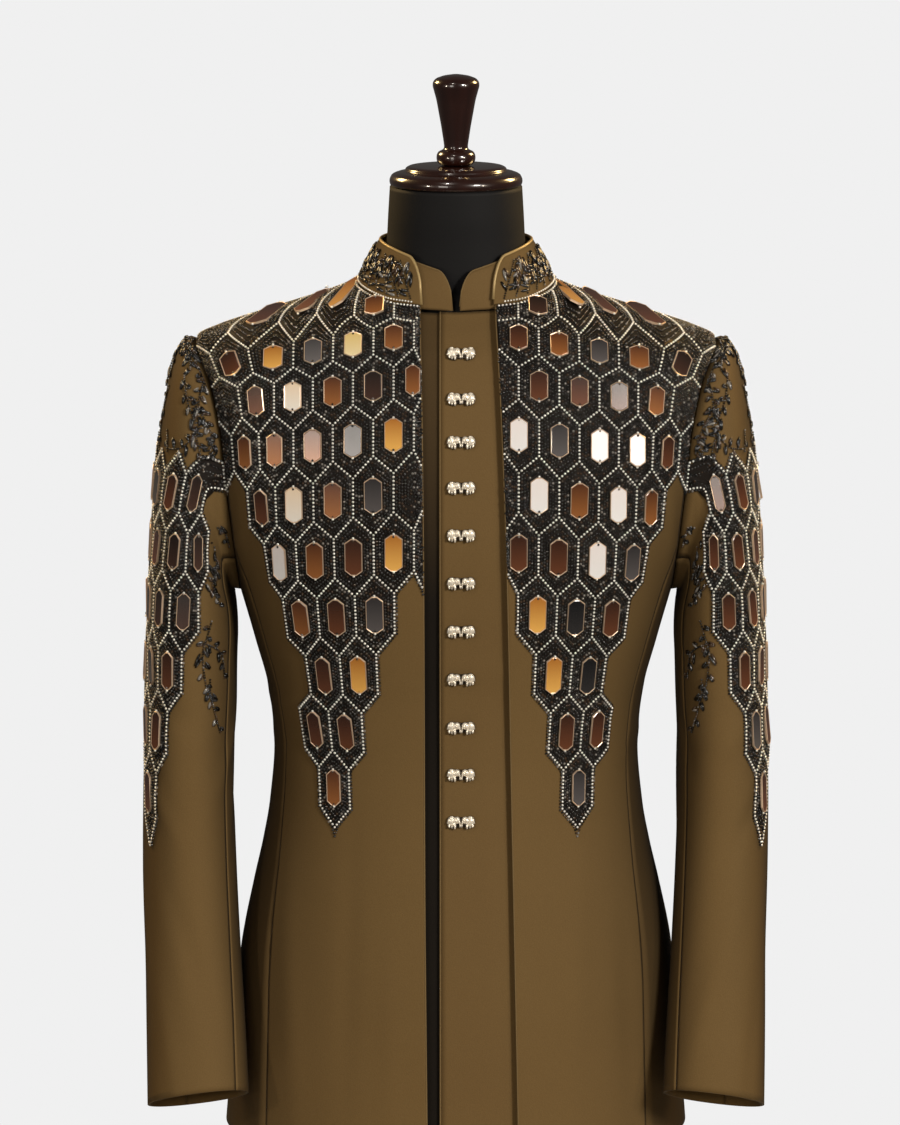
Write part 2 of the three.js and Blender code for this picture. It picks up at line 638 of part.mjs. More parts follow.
function evenRound(at, count, shift) {
  const fine = 360;
  const angles = steps(fine).map((i) => (2 * Math.PI * i) / fine);
  const points = angles.map((a) => at(a, 0));
  const way = [0];
  for (let i = 1; i <= fine; i += 1) {
    way.push(way[i - 1] + Math.hypot(...points[i].map((v, k) => v - points[i - 1][k])));
  }
  return (c) => {
    let l = (((c - shift) / count) % 1) * way[fine];
    if (l < 0) l += way[fine];
    let i = way.findIndex((w) => w >= l);
    if (i < 1) i = 1;
    return angles[i - 1] + (angles[i] - angles[i - 1]) * ((l - way[i - 1]) / (way[i] - way[i - 1]));
  };
}

function sleevePanel(from, to, withMirrors) {
  const sections = [null, ...SLEEVE];
  const cols = steps(to - from).map((i) => from + i);
  const trim = SEAM / 2 / 15;
  cols[0] += trim;
  cols[cols.length - 1] -= trim;
  const outer = [];
  const inner = [];
  for (const row of sections) {
    const at = row ? (a, inset) => sectionPoint(row, a, inset) : armholePoint;
    const turn = evenRound(at, SLEEVE_AROUND, SLEEVE_SHIFT);
    outer.push(cols.map((c) => at(turn(c), 0)));
    inner.push(cols.map((c) => at(turn(c), WALL_JACKET)));
  }
  const raise = (p) => {
    const [x, y] = [p[0] - SLEEVE_AXIS.x, (p[1] - SLEEVE_AXIS.y) * SLEEVE_AXIS.flat];
    return [x / Math.hypot(x, y), y / Math.hypot(x, y), 0];
  };
  const mirrors = withMirrors
    ? SLEEVE_ROWS.flatMap(({ line, mirrors: held }) =>
      held.map((m) => mirrorCell(outer, line, line + 1, m - from, raise, false)))
    : [];
  const split = (r, c) => {
    const k = SLEEVE_ROWS.findIndex((row) => row.line + 1 === r || row.line - 1 === r);
    if (k < 0) return false;
    const below = SLEEVE_ROWS[k].line + 1 === r;
    const odd = Math.abs(c + from - SLEEVE_ROWS[k].mirrors[0]) % 2;
    return below ? odd === 0 : odd === 1;
  };
  return gridWall(outer, inner, { mirrors, split });
}

// Neck line all the way round as way u in -1..1 to a point: 0 the middle of the back.
function neckPoint(share, depth) {
  const front = share > 0.5;
  const corner = quarter(NECK_CORNER_Z, front ? false : true);
  const u = front ? corner * (2 - 2 * share) : corner * 2 * share;
  const z = front ? neckHigh.front(u) : neckHigh.back(u);
  const p = ringByLength(z, Math.min(u, quarter(z, !front)), !front);
  return moved(p, outward(p), -depth);
}

// Stand collar: a band that stands on the neck line and leans in to its top oval.
function collarBand({ ends, depth, wall, top, step, lift, inset, round }) {
  const span = ends[1] - ends[0];
  const count = Math.round(span / step);
  const lengths = [0];
  const columns = steps(count).map((i) => {
    const t = ends[0] + (span * i) / count;
    const s = Math.abs(t);
    const sign = t < 0 ? -1 : 1;
    const base = neckPoint(s, depth);
    const angle = Math.PI * s;
    const d = Math.cos(angle) > 0 ? top.b : top.f;
    const high = s < 0.5
      ? top.back + (top.side - top.back) * 2 * s
      : top.side + (top.front - top.side) * (2 * s - 1) ** COLLAR_DIP;
    const head = [top.a * Math.sin(angle), d * Math.cos(angle), high];
    const shrink = 1 - inset / Math.hypot(base[0], base[1]);
    const low = [base[0] * shrink, base[1] * shrink, base[2] + lift];
    return { sign, low, head };
  });
  columns.forEach((col, i) => {
    if (!i) return;
    const prev = columns[i - 1];
    const along = col.low[0] * col.sign - prev.low[0] * prev.sign;
    lengths.push(lengths[i - 1] + Math.hypot(along, col.low[1] - prev.low[1]));
  });
  const total = lengths[count];
  const outer = [];
  const inner = [];
  [1, 0.5, 0].forEach((v) => {
    const line = columns.map(({ sign, low, head }, i) => {
      const near = Math.min(lengths[i], total - lengths[i]);
      const end = near < round ? Math.sqrt(Math.max(0, 1 - (1 - near / round) ** 2)) : 1;
      const t = v * (0.12 + 0.88 * end);
      const bulge = Math.sin(Math.PI * t) * 1.2;
      const p = mix(low, head, t);
      const size = Math.hypot(p[0], p[1]);
      return [(p[0] + (bulge * p[0]) / size) * sign, p[1] + (bulge * p[1]) / size, p[2]];
    });
    outer.push(line);
    inner.push(line.map((p) => {
      const size = Math.hypot(p[0], p[1]);
      return [p[0] * (1 - wall / size), p[1] * (1 - wall / size), p[2]];
    }));
  });
  return gridWall(outer, inner);
}

// Inner garment: panels on the same body, further in.
const INNER_Z = [900, 865, 825, 780, 735, 695, 672.5, 630, 555, 480, 400, 305, INNER_HEM_Z];
const INNER_SHARES = [0, 0.35, 1];
const LAP = { over: -13.8, under: 24, drop: 3, from: 34, to: 70 };

// One inner panel from its middle edge (way round, may pass the middle) to armhole and side seam.
function innerPanel({ start, back, depthFor, count }) {
  const apex = ARM_INNER.zc + ARM_INNER.rz - 0.02;
  const edge = (z) => {
    if (z >= apex) return quarter(z, back) - SEAM / 2;
    if (z >= ARM_INNER.zc - ARM_INNER.rz) return armPoint(z, ARM_INNER, back).length - SEAM / 2;
    return quarter(z, back) - SEAM / 2;
  };
  const signed = (u, z) => {
    const p = ringByLength(z, Math.abs(u), back);
    return moved([p[0] * (u < 0 ? -1 : 1), p[1], p[2]], outwardSigned(p, u), -depthFor(u));
  };
  const neck = back ? neckHigh.back : neckHigh.front;
  const corner = quarter(NECK_CORNER_Z, back) - SEAM / 2;
  const outer = [];
  const ridgeShare = 0.45;
  const topRow = steps(count).map((c) => {
    const t = c / count;
    if (t <= ridgeShare) {
      const u = start + (corner - start) * (t / ridgeShare);
      return { u, z: Math.abs(u) >= corner ? NECK_CORNER_Z : neck(Math.abs(u)) };
    }
    const z = NECK_CORNER_Z + (apex - NECK_CORNER_Z) * ((t - ridgeShare) / (1 - ridgeShare)) ** 0.9;
    return { u: quarter(z, back) - SEAM / 2, z };
  });
  const lowRow = steps(count).map((c) => {
    const z = INNER_Z[0];
    return { z, u: start + (edge(z) - start) * (c / count) };
  });
  INNER_SHARES.forEach((share) => {
    outer.push(steps(count).map((c) => {
      const [p, q] = [topRow[c], lowRow[c]];
      if (c === count && share > 0) {
        const turn = Math.acos((q.z - ARM_INNER.zc) / ARM_INNER.rz);
        const z = ARM_INNER.zc + ARM_INNER.rz * Math.cos(turn * share) - 0.02;
        return signed(edge(z), z);
      }
      return signed(p.u + (q.u - p.u) * share, p.z + (q.z - p.z) * share);
    }));
  });
  INNER_Z.slice(1).forEach((z) => {
    outer.push(steps(count).map((c) => signed(start + (edge(z) - start) * (c / count), z)));
  });
  const inner = outer.map((row) => row.map((p) => {
    const n = outward([p[0], p[1], p[2]]);
    return moved(p, n, -WALL_INNER);
  }));
  return gridWall(outer, inner);
}

function outwardSigned(p, u) {
  const n = outward(p);
  return [n[0] * (u < 0 ? -1 : 1), n[1], n[2]];
}

const smooth = (t) => { const c = Math.min(1, Math.max(0, t)); return c * c * (3 - 2 * c); };

// Torso form: the body further in, then the neck.
const FORM_BOTTOM_Z = 280;
const FORM_Z = [280, 340, 410, 480, 550, 615, 680, 745, 805, 855, 888, 907, 918, 927, 940];
const NECK_RINGS = [
  { z: 956, a: 76, f: 45, b: 44 },
  { z: 970, a: 64.5, f: 46, b: 45 },
  { z: 1000, a: 60.2, f: 49, b: 49 },
  { z: 1022, a: 59, f: 52, b: 52 },
  { z: 1047, a: 57.5, f: 54, b: 54 },
];
const FORM_AROUND = 24;

function formRings() {
  const rings = FORM_Z.map((z) => steps(FORM_AROUND - 1).map((i) => {
    const angle = (2 * Math.PI * i) / FORM_AROUND;
    const n = torso.n(z);
    const [s, c] = [Math.sin(angle), -Math.cos(angle)];
    const d = depthAt(z, c > 0);
    const x = torso.a(z) * Math.sign(s) * Math.abs(s) ** (2 / n);
    const p = [x, d * Math.sign(c) * Math.abs(c) ** (2 / n), z];
    const q = moved(p, outward(p), -FORM_DEPTH);
    return z === FORM_BOTTOM_Z ? [q[0], q[1], z] : q;
  }));
  for (const row of NECK_RINGS) {
    rings.push(steps(FORM_AROUND - 1).map((i) => {
      const angle = (2 * Math.PI * i) / FORM_AROUND;
      const c = -Math.cos(angle);
      return [row.a * Math.sin(angle), (c > 0 ? row.b : row.f) * c, row.z];
    }));
  }
  return rings;
}

// Closed body through level rings, with a fan at each end.
function closedRings(rings) {
  const wall = new Wall();
  const ids = rings.map((ring) => ring.map((p) => wall.add(p)));
  const n = rings[0].length;
  for (let r = 0; r < rings.length - 1; r += 1) {
    for (let i = 0; i < n; i += 1) {
      const j = (i + 1) % n;
      wall.quad(ids[r][i], ids[r][j], ids[r + 1][j], ids[r + 1][i]);
    }
  }
  const middle = (ring) => wall.add([0, 1, 2].map((k) => ring.reduce((sum, p) => sum + p[k], 0) / n));
  const low = middle(rings[0]);
  const high = middle(rings[rings.length - 1]);
  for (let i = 0; i < n; i += 1) {
    const j = (i + 1) % n;
    wall.face(ids[0][j], ids[0][i], low);
    wall.face(ids[rings.length - 1][i], ids[rings.length - 1][j], high);
  }
  return wall;
}

const turned = (profile, around) => closedRings(profile.map(({ z, r }) =>
  steps(around - 1).map((i) => {
    const angle = (2 * Math.PI * i) / around;
    return [r * Math.sin(angle), -r * Math.cos(angle), z];
  })));

const CAP = [
  { z: 1047.3, r: 54 },
  { z: 1048.5, r: 57 },
  { z: 1054, r: 57.6 },
  { z: 1058, r: 55.5 },
  { z: 1060, r: 50 },
  { z: 1060.6, r: 44.5 },
  { z: 1063.5, r: 43.5 },
  { z: 1065, r: 40 },
];
const FINIAL = [
  { z: 1065.3, r: 12 },
  { z: 1067, r: 15.5 },
  { z: 1072, r: 17 },
  { z: 1077, r: 15.5 },
  { z: 1079.5, r: 10.2 },
  { z: 1100, r: 13 },
  { z: 1122, r: 17 },
  { z: 1132, r: 19.6 },
  { z: 1136, r: 20.2 },
  { z: 1139.5, r: 18.5 },
  { z: 1142.6, r: 11 },
  { z: 1144.2, r: 3 },
];
const POLE = [
  { z: 24.3, r: 26 },
  { z: 30, r: 26 },
  { z: 34, r: 19 },
  { z: 44, r: 14 },
  { z: 258, r: 14 },
  { z: 264, r: 20 },
  { z: 270, r: 44 },
  { z: FORM_BOTTOM_Z - 0.5, r: 46 },
];
const BASE = [
  { z: 0, r: 146 },
  { z: 3, r: 150 },
  { z: 12, r: 150 },
  { z: 16, r: 146 },
  { z: 19, r: 134 },
  { z: 22, r: 60 },
  { z: 24, r: 32 },
];

// Button: an oval domed plate on a short shank side, laid on the over front.
const BUTTON_RINGS = [
  { w: 0.3, high: 0 },
  { w: 1, high: 1.1 },
  { w: 1, high: 2.1 },
  { w: 0.82, high: 3.5 },
  { w: 0.4, high: 4.3 },
];
const BUTTON_AROUND = 12;

// Foremost y of a wall at this x and z.
function foremost(wall, x, z) {
  let best = Infinity;
  for (const f of wall.faces) {
    const [a, b, c] = f.map((i) => wall.points[i]);
    const area = (b[0] - a[0]) * (c[2] - a[2]) - (c[0] - a[0]) * (b[2] - a[2]);
    if (Math.abs(area) < 1e-9) continue;
    const v = ((x - a[0]) * (c[2] - a[2]) - (c[0] - a[0]) * (z - a[2])) / area;
    const w = ((b[0] - a[0]) * (z - a[2]) - (x - a[0]) * (b[2] - a[2])) / area;
    if (v >= 0 && w >= 0 && v + w <= 1) best = Math.min(best, a[1] + (b[1] - a[1]) * v + (c[1] - a[1]) * w);
  }
  return best;
}

function button(panel, z) {
  const n = outward([BUTTONS.x, ringByX(z, BUTTONS.x, false), z]);
  const origin = moved([BUTTONS.x, foremost(panel, BUTTONS.x, z), z], n, BUTTONS.shank);
  const flat = Math.hypot(n[1], n[2]);
  const rise = [0, n[2] / flat, -n[1] / flat];
  return closedRings(BUTTON_RINGS.map(({ w, high }) => steps(BUTTON_AROUND - 1).map((i) => {
    const angle = (2 * Math.PI * i) / BUTTON_AROUND;
    const [s, c] = [Math.sin(angle), Math.cos(angle)];
    const x = (BUTTONS.wide / 2) * w * Math.sign(s) * Math.abs(s) ** 0.8;
    const y = (BUTTONS.tall / 2) * w * Math.sign(c) * Math.abs(c) ** 0.8;
    return moved([origin[0] + x, origin[1] + rise[1] * y, origin[2] + rise[2] * y], n, high);
  })));
}

function toMesh(wall, name, mirror = false) {
  const used = new Map();
  const points = [];
  const index = wall.faces.map((f) => f.map((i) => {
    if (!used.has(i)) {
      used.set(i, used.size);
      const p = wall.points[i];
      points.push(mirror ? -p[0] : p[0], p[1], p[2]);
    }
    return used.get(i);
  }));
  let volume = 0;
  for (const [a, b, c] of index) {
    const [p, q, r] = [a, b, c].map((i) => points.slice(3 * i, 3 * i + 3));
    volume += p[0] * (q[1] * r[2] - q[2] * r[1]) - p[1] * (q[0] * r[2] - q[2] * r[0]) +
      p[2] * (q[0] * r[1] - q[1] * r[0]);
  }
  const geometry = new THREE.BufferGeometry();
  geometry.setAttribute("position", new THREE.Float32BufferAttribute(points, 3));
  geometry.setIndex(index.flatMap(([a, b, c]) => (volume < 0 ? [a, c, b] : [a, b, c])));
  const mesh = new THREE.Mesh(geometry);
  mesh.name = name;
  return mesh;
}

const suit = new THREE.Group();
const place = (wall, name, mirror) => suit.add(toMesh(wall, name, mirror));

place(frontPanel("r"), "jacket_front_r", true);
place(frontPanel("l"), "jacket_front_l");
for (const [side, mirror] of [["r", true], ["l", false]]) {
  place(sidePanel(), `jacket_side_${side}`, mirror);
  place(backPanel(), `jacket_back_${side}`, mirror);
  place(sleevePanel(SLEEVE_SEAMS.back, SLEEVE_SEAMS.front, true), `sleeve_top_${side}`, mirror);
  const under = sleevePanel(SLEEVE_SEAMS.front, SLEEVE_SEAMS.back + SLEEVE_AROUND, false);
  place(under, `sleeve_under_${side}`, mirror);
}
place(collarBand(COLLARS.jacket), "jacket_collar");
place(collarBand(COLLARS.inner_r), "inner_collar_r");
place(collarBand(COLLARS.inner_l), "inner_collar_l");

const overFront = innerPanel({ start: LAP.over, back: false, depthFor: () => INNER_DEPTH, count: 9 });
place(overFront, "inner_front_over");
const underDepth = (u) => INNER_DEPTH + LAP.drop * smooth((LAP.to - u) / (LAP.to - LAP.from));
const underFront = innerPanel({ start: -LAP.under, back: false, depthFor: underDepth, count: 9 });
place(underFront, "inner_front_under", true);
for (const [side, mirror] of [["r", true], ["l", false]]) {
  const half = innerPanel({ start: SEAM / 2, back: true, depthFor: () => INNER_DEPTH, count: 8 });
  place(half, `inner_back_${side}`, mirror);
}
place(closedRings(formRings()), "form_torso");
place(turned(CAP, 28), "form_cap");
place(turned(FINIAL, 18), "form_finial");
place(turned(POLE, 16), "stand_pole");
place(turned(BASE, 36), "stand_base");
BUTTON_Z.forEach((z, i) => place(button(overFront, z), `button_${String(i + 1).padStart(2, "0")}`));

export default suit;
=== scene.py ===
import math
import bpy
import numpy as np
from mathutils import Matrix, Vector


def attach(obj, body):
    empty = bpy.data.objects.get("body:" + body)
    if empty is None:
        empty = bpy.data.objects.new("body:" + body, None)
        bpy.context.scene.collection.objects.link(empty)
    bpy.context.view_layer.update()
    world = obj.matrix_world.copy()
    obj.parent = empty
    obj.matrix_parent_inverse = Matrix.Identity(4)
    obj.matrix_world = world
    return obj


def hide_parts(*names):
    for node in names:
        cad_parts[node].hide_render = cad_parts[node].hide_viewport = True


# Bandhgala suit on a dress form. Shapes are worked out in millimetres and put down in metres.
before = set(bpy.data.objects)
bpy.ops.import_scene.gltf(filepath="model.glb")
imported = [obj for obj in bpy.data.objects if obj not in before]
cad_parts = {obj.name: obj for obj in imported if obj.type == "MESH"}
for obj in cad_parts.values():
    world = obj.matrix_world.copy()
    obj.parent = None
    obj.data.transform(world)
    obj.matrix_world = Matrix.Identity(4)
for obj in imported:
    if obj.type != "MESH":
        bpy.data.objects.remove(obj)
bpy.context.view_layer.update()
luck = np.random.default_rng(1864)

# body of the jacket: height, half width, front depth, back depth, roundness
torsoTable = [
    (210, 206, 138, 134, 2.2), (300, 198.5, 134, 130, 2.2), (372, 191.5, 129, 126, 2.2),
    (427, 180.5, 123, 121, 2.25), (464, 172, 118, 115, 2.25), (500, 165.5, 113, 109, 2.25),
    (555, 160.8, 109, 103, 2.25), (600, 164.5, 110, 103, 2.3), (650, 177, 115, 107, 2.35),
    (700, 191, 120, 112, 2.4), (750, 205, 123, 117, 2.5), (800, 215, 120, 121, 2.6),
    (850, 220, 112, 120, 2.6), (890, 224.5, 101, 113, 2.5), (908, 227, 94, 106, 2.4),
    (918, 223, 89, 100, 2.3), (925, 207, 84, 95, 2.25), (932, 187, 79, 89, 2.2),
    (946, 142, 68, 76, 2.2), (960, 100, 59, 62, 2.1), (970, 80, 54, 55, 2.0), (1000, 70, 52, 52, 2.0),
]
sideSeamTable = [
    (210, 168, 160), (300, 166, 158), (372, 164, 155), (464, 155, 144), (555, 149, 136),
    (600, 153, 141), (650, 165, 156), (700, 179, 174),
]
frontEdgeTable = [(200, 24.5, 55), (480, 27, 49), (700, 27.5, 44), (860, 29, 38), (945, 31, 33)]
neckFrontTable = [(0, 948.5), (30, 950), (56, 952), (76, 957), (96, 963), (116, 967)]
neckBackTable = [(0, 973), (30, 973), (70, 970.5), (116, 967)]
# honeycomb rows: middle height, fall to the side, half a cell, columns with a mirror, all columns
honeycombRows = [
    (951, 0.17, 17.4, [2, 4, 6, 8], [0, 2, 4, 6, 8, 10]),
    (926, 0.17, 17.4, [1, 3, 5, 7, 9], [-1, 1, 3, 5, 7, 9, 11]),
    (889, 0.15, 17.4, [0, 2, 4, 6, 8], [0, 2, 4, 6, 8, 10]),
    (846, 0.15, 17.4, [1, 3, 5, 7, 9], [-1, 1, 3, 5, 7, 9, 11]),
    (797, 0.15, 17.4, [2, 4, 6, 8], [0, 2, 4, 6, 8]),
    (745, 0.13, 17.3, [1, 3, 5, 7], [-1, 1, 3, 5, 7]),
    (692, 0.11, 17.0, [2, 4, 6], [2, 4, 6]),
    (638, 0.09, 16.2, [3, 5], [3, 5]),
    (584, 0.03, 15.2, [4, 6], [4, 6]),
    (532, 0.0, 14.4, [5], [5]),
]
body = dict(wall=2.0, seam=0.3, hem=210.0, corner=967.0, straight=0.66, firstColumn=36.0, freeColumn=7,
            lastColumn=11, leastColumn=5.0, joinRow=5, join=740.0,
            armMiddle=803.0, armHigh=112.0, armFront=62.0, armBack=68.0, cornerColumn=5, lastGap=50,
            belowRows=34)
innerArm = dict(middle=803.0, high=130.0, front=70.0, back=76.0)
topShares = np.array([0, 0.24, 0.66, 1.0])
lowerHeights = [455, 410, 355, 300, 252, 210]


def track(rows, column):
    # smooth curve through a table: a cubic between heights, its slope the harmonic mean of its neighbours'
    x = np.array([r[0] for r in rows], float)
    y = np.array([r[column] for r in rows], float)
    d = np.diff(y) / np.diff(x)
    m = np.empty_like(y)
    m[0], m[-1] = d[0], d[-1]
    same = d[:-1] * d[1:] > 0
    m[1:-1] = np.where(same, 2 * d[:-1] * d[1:] / np.where(same, d[:-1] + d[1:], 1), 0)

    def at(z):
        c = np.clip(z, x[0], x[-1])
        i = np.clip(np.searchsorted(x, c, side="right") - 1, 0, len(x) - 2)
        w = x[i + 1] - x[i]
        t = (c - x[i]) / w
        return (y[i] * (1 + 2 * t) * (1 - t) ** 2 + y[i + 1] * t * t * (3 - 2 * t)
                + w * m[i] * t * (1 - t) ** 2 + w * m[i + 1] * t * t * (t - 1))
    return at


halfWide, frontDeep, backDeep, roundness = (track(torsoTable, k) for k in (1, 2, 3, 4))
frontEdges = {"r": track(frontEdgeTable, 1), "l": track(frontEdgeTable, 2)}
# the left front's edge lies further out, so its lattice leaves out the first column
leftOut = {"r": 0, "l": 1}
neckFront, neckBack = track(neckFrontTable, 1), track(neckBackTable, 1)
halfCell = track([(r[0], r[2]) for r in honeycombRows[::-1]], 1)
ringSteps = 97


def ringPaths(z, back):
    # a quarter of the level ring at each height, from the middle to the side, with the way along it:
    # a rounded oval, x and y being the half width and depth times sine and cosine to the power 2 / roundness
    t = np.linspace(0, math.pi / 2, ringSteps)
    n = roundness(z)[:, None]
    deep = (backDeep if back else frontDeep)(z)[:, None]
    x = halfWide(z)[:, None] * np.sin(t) ** (2 / n)
    y = deep * np.clip(np.cos(t), 0, 1) ** (2 / n)
    way = np.concatenate([np.zeros((len(z), 1)), np.cumsum(np.hypot(np.diff(x), np.diff(y)), 1)], 1)
    return x, y, way


def ringAt(way, z, back=False):
    # point of the level ring at height z this far round from the middle of the front or back
    way, z = np.broadcast_arrays(np.asarray(way, float), np.asarray(z, float))
    shape = way.shape
    w, zz = way.ravel(), z.ravel()
    out = np.empty((len(w), 3))
    for s in range(0, len(w), 6000):
        part = slice(s, s + 6000)
        x, y, path = ringPaths(zz[part], back)
        v = np.clip(np.abs(w[part]), 0, path[:, -1])
        i = np.clip((path < v[:, None]).sum(1), 1, ringSteps - 1)
        row = np.arange(len(v))
        t = (v - path[row, i - 1]) / np.maximum(path[row, i] - path[row, i - 1], 1e-9)
        px = x[row, i - 1] + (x[row, i] - x[row, i - 1]) * t
        py = y[row, i - 1] + (y[row, i] - y[row, i - 1]) * t
        out[part] = np.stack([px * np.where(w[part] < 0, -1, 1), py if back else -py, zz[part]], 1)
    return out.reshape(shape + (3,))


def quarter(z, back=False):
    # length of the quarter ring at each height
    return ringPaths(np.atleast_1d(np.asarray(z, float)), back)[2][:, -1]


def wayOfX(z, x, back=False):
    # way round the ring at height z to this half width
    xs, _, way = ringPaths(np.atleast_1d(float(z)), back)
    return float(np.interp(x, xs[0], way[0]))


def wayOfY(z, y, back=False):
    # way round the ring at height z to this depth
    _, ys, way = ringPaths(np.atleast_1d(float(z)), back)
    return float(np.interp(-abs(y), -ys[0], way[0]))


def outward(p):
    # direction in which the oval's level function grows fastest:
    # (|x| / half width) to the power of the roundness + (|y| / depth) to the same power
    x, y, z = p[..., 0], p[..., 1], p[..., 2]

    def level(zz):
        n = roundness(zz)
        deep = np.where(y > 0, backDeep(zz), frontDeep(zz))
        return (np.abs(x) / halfWide(zz)) ** n + (np.abs(y) / deep) ** n
    n = roundness(z)
    a, d = halfWide(z), np.where(y > 0, backDeep(z), frontDeep(z))
    g = np.stack([n * np.maximum(1e-6, np.abs(x) / a) ** (n - 1) / a * np.where(x < 0, -1, 1),
                  n * (np.abs(y) / d) ** (n - 1) / d * np.sign(y),
                  (level(z + 1.5) - level(z - 1.5)) / 3], -1)
    return g / np.linalg.norm(g, axis=-1, keepdims=True)


def armWay(z, back=False, arm=None):
    # way round at which the armhole's oval stands at this height, at a depth of wide * sqrt(1 - c * c)
    mid, high = (arm["middle"], arm["high"]) if arm else (body["armMiddle"], body["armHigh"])
    wide = (arm["back" if back else "front"]) if arm else body["armBack" if back else "armFront"]
    c = np.clip((z - mid) / high, -1, 1)
    return wayOfY(z, wide * math.sqrt(1 - c * c), back)


def sideSeamCurve(back):
    # half width of the side seam at each height, joined to the armhole's oval at the top
    n = float(roundness(body["join"]))
    deep = float((backDeep if back else frontDeep)(body["join"]))
    c = (body["join"] - body["armMiddle"]) / body["armHigh"]
    y = body["armBack" if back else "armFront"] * math.sqrt(1 - c * c)
    x = float(halfWide(body["join"])) * (1 - (y / deep) ** n) ** (1 / n)
    return track([(r[0], r[2 if back else 1]) for r in sideSeamTable] + [(body["join"], x)], 1)


sideSeams = {False: sideSeamCurve(False), True: sideSeamCurve(True)}


def outerEdge(z, back=False):
    # way round to a front or back panel's outer edge: the armhole above the join, the side seam below
    if z >= body["join"]:
        return armWay(z, back) - body["seam"] / 2
    return wayOfX(z, float(sideSeams[back](z)), back) - body["seam"] / 2


def ridgeHeight(way, back=False):
    # height whose quarter ring has this length: the shoulder's ridge
    heights = np.linspace(body["corner"] - 56, body["corner"] + 4, 400)
    lengths = quarter(heights, back) - body["seam"] / 2
    return float(np.interp(-way, -lengths, heights))


def honeycombLine(k, lower, way):
    # height at which a row's straight sides start or end: its middle less its fall, give or take a share
    # of the distance to the next row
    row = honeycombRows[k]
    gap = row[0] - honeycombRows[k + 1][0] if k < len(honeycombRows) - 1 else body["lastGap"]
    above = honeycombRows[k - 1][0] - row[0] if k else gap
    fall = row[1] * (way - 60)
    if lower:
        return row[0] - fall - gap * body["straight"] / 2
    return row[0] - fall + above * body["straight"] / 2


def columnPart(top, low, back, shares):
    # ways and heights at shares of the distance down one column from its top point
    t = np.sin(math.pi / 2 * np.linspace(0, 1, 49)) ** 2
    way = top[0] + (low[0] - top[0]) * t
    z = top[1] + (low[1] - top[1]) * t
    far = np.concatenate([[0], np.cumsum(np.linalg.norm(np.diff(ringAt(way, z, back), axis=0), axis=1))])
    goal = np.asarray(shares) * far[-1]
    return np.interp(goal, far, way), np.interp(goal, far, z)


def frontLattice(side):
    # ways round and heights of the front's lines and columns, as the pattern pieces are drawn
    last = body["lastColumn"] + 1
    edge = frontEdges[side]

    def column(c, z):
        if c == 0:
            return wayOfX(z, float(edge(z)))
        end = outerEdge(z)
        if c == last:
            return end
        half = float(halfCell(z))
        free = body["firstColumn"] + half * body["freeColumn"]
        if c - 1 <= body["freeColumn"]:
            least = wayOfX(z, float(edge(z))) + body["leastColumn"] * (c - leftOut[side])
            return max(least, body["firstColumn"] + half * (c - 1))
        return free + (end - free) * (c - 1 - body["freeColumn"]) / (body["lastColumn"] - body["freeColumn"])
    lines = [(k, low) for k in range(1, len(honeycombRows)) for low in (False, True)][1:]
    ways, heights = [], []
    for c in [0] + list(range(1 + leftOut[side], last + 1)):
        def solve(height):
            z = height(60)
            for _ in range(10):
                z = height(column(c, z))
            return z
        lowZ = solve(lambda w: honeycombLine(1, False, w))
        apex = body["armMiddle"] + body["armHigh"] - 0.02
        if c == last:
            turn = math.acos((lowZ - body["armMiddle"]) / body["armHigh"])
            z = body["armMiddle"] + body["armHigh"] * np.cos(turn * topShares) - 0.02
            w = np.array([float(quarter(apex)[0]) - body["seam"] / 2] + [outerEdge(v) for v in z[1:]])
        else:
            if c == body["cornerColumn"]:
                top = (float(quarter(body["corner"])[0]) - body["seam"] / 2, body["corner"])
            elif c < body["cornerColumn"]:
                w0 = column(c, 940)
                top = (w0, float(neckFront(w0)))
            else:
                z0 = ridgeHeight(column(c, 917))
                top = (float(quarter(z0)[0]) - body["seam"] / 2, z0)
            w, z = columnPart(top, (column(c, lowZ), lowZ), False, topShares)
        w, z = list(w), list(z)
        for k, low in lines:
            corner = c == last and k == body["joinRow"] and not low
            v = body["join"] if corner else solve(lambda q: honeycombLine(k, low, q))
            z.append(v)
            w.append(column(c, v))
        for v in [honeycombRows[-1][0] - body["belowRows"]] + lowerHeights:
            z.append(v)
            w.append(column(c, v))
        ways.append(w)
        heights.append(z)
    return np.array(ways).T, np.array(heights).T


def between(table, r, c):
    # value of a table at a line r and column c that need not be whole numbers
    r = np.clip(r, 0, table.shape[0] - 1.000001)
    c = np.clip(c, 0, table.shape[1] - 1.000001)
    i, j = r.astype(int), c.astype(int)
    s, t = r - i, c - j
    return ((table[i, j] * (1 - t) + table[i, j + 1] * t) * (1 - s)
            + (table[i + 1, j] * (1 - t) + table[i + 1, j + 1] * t) * s)


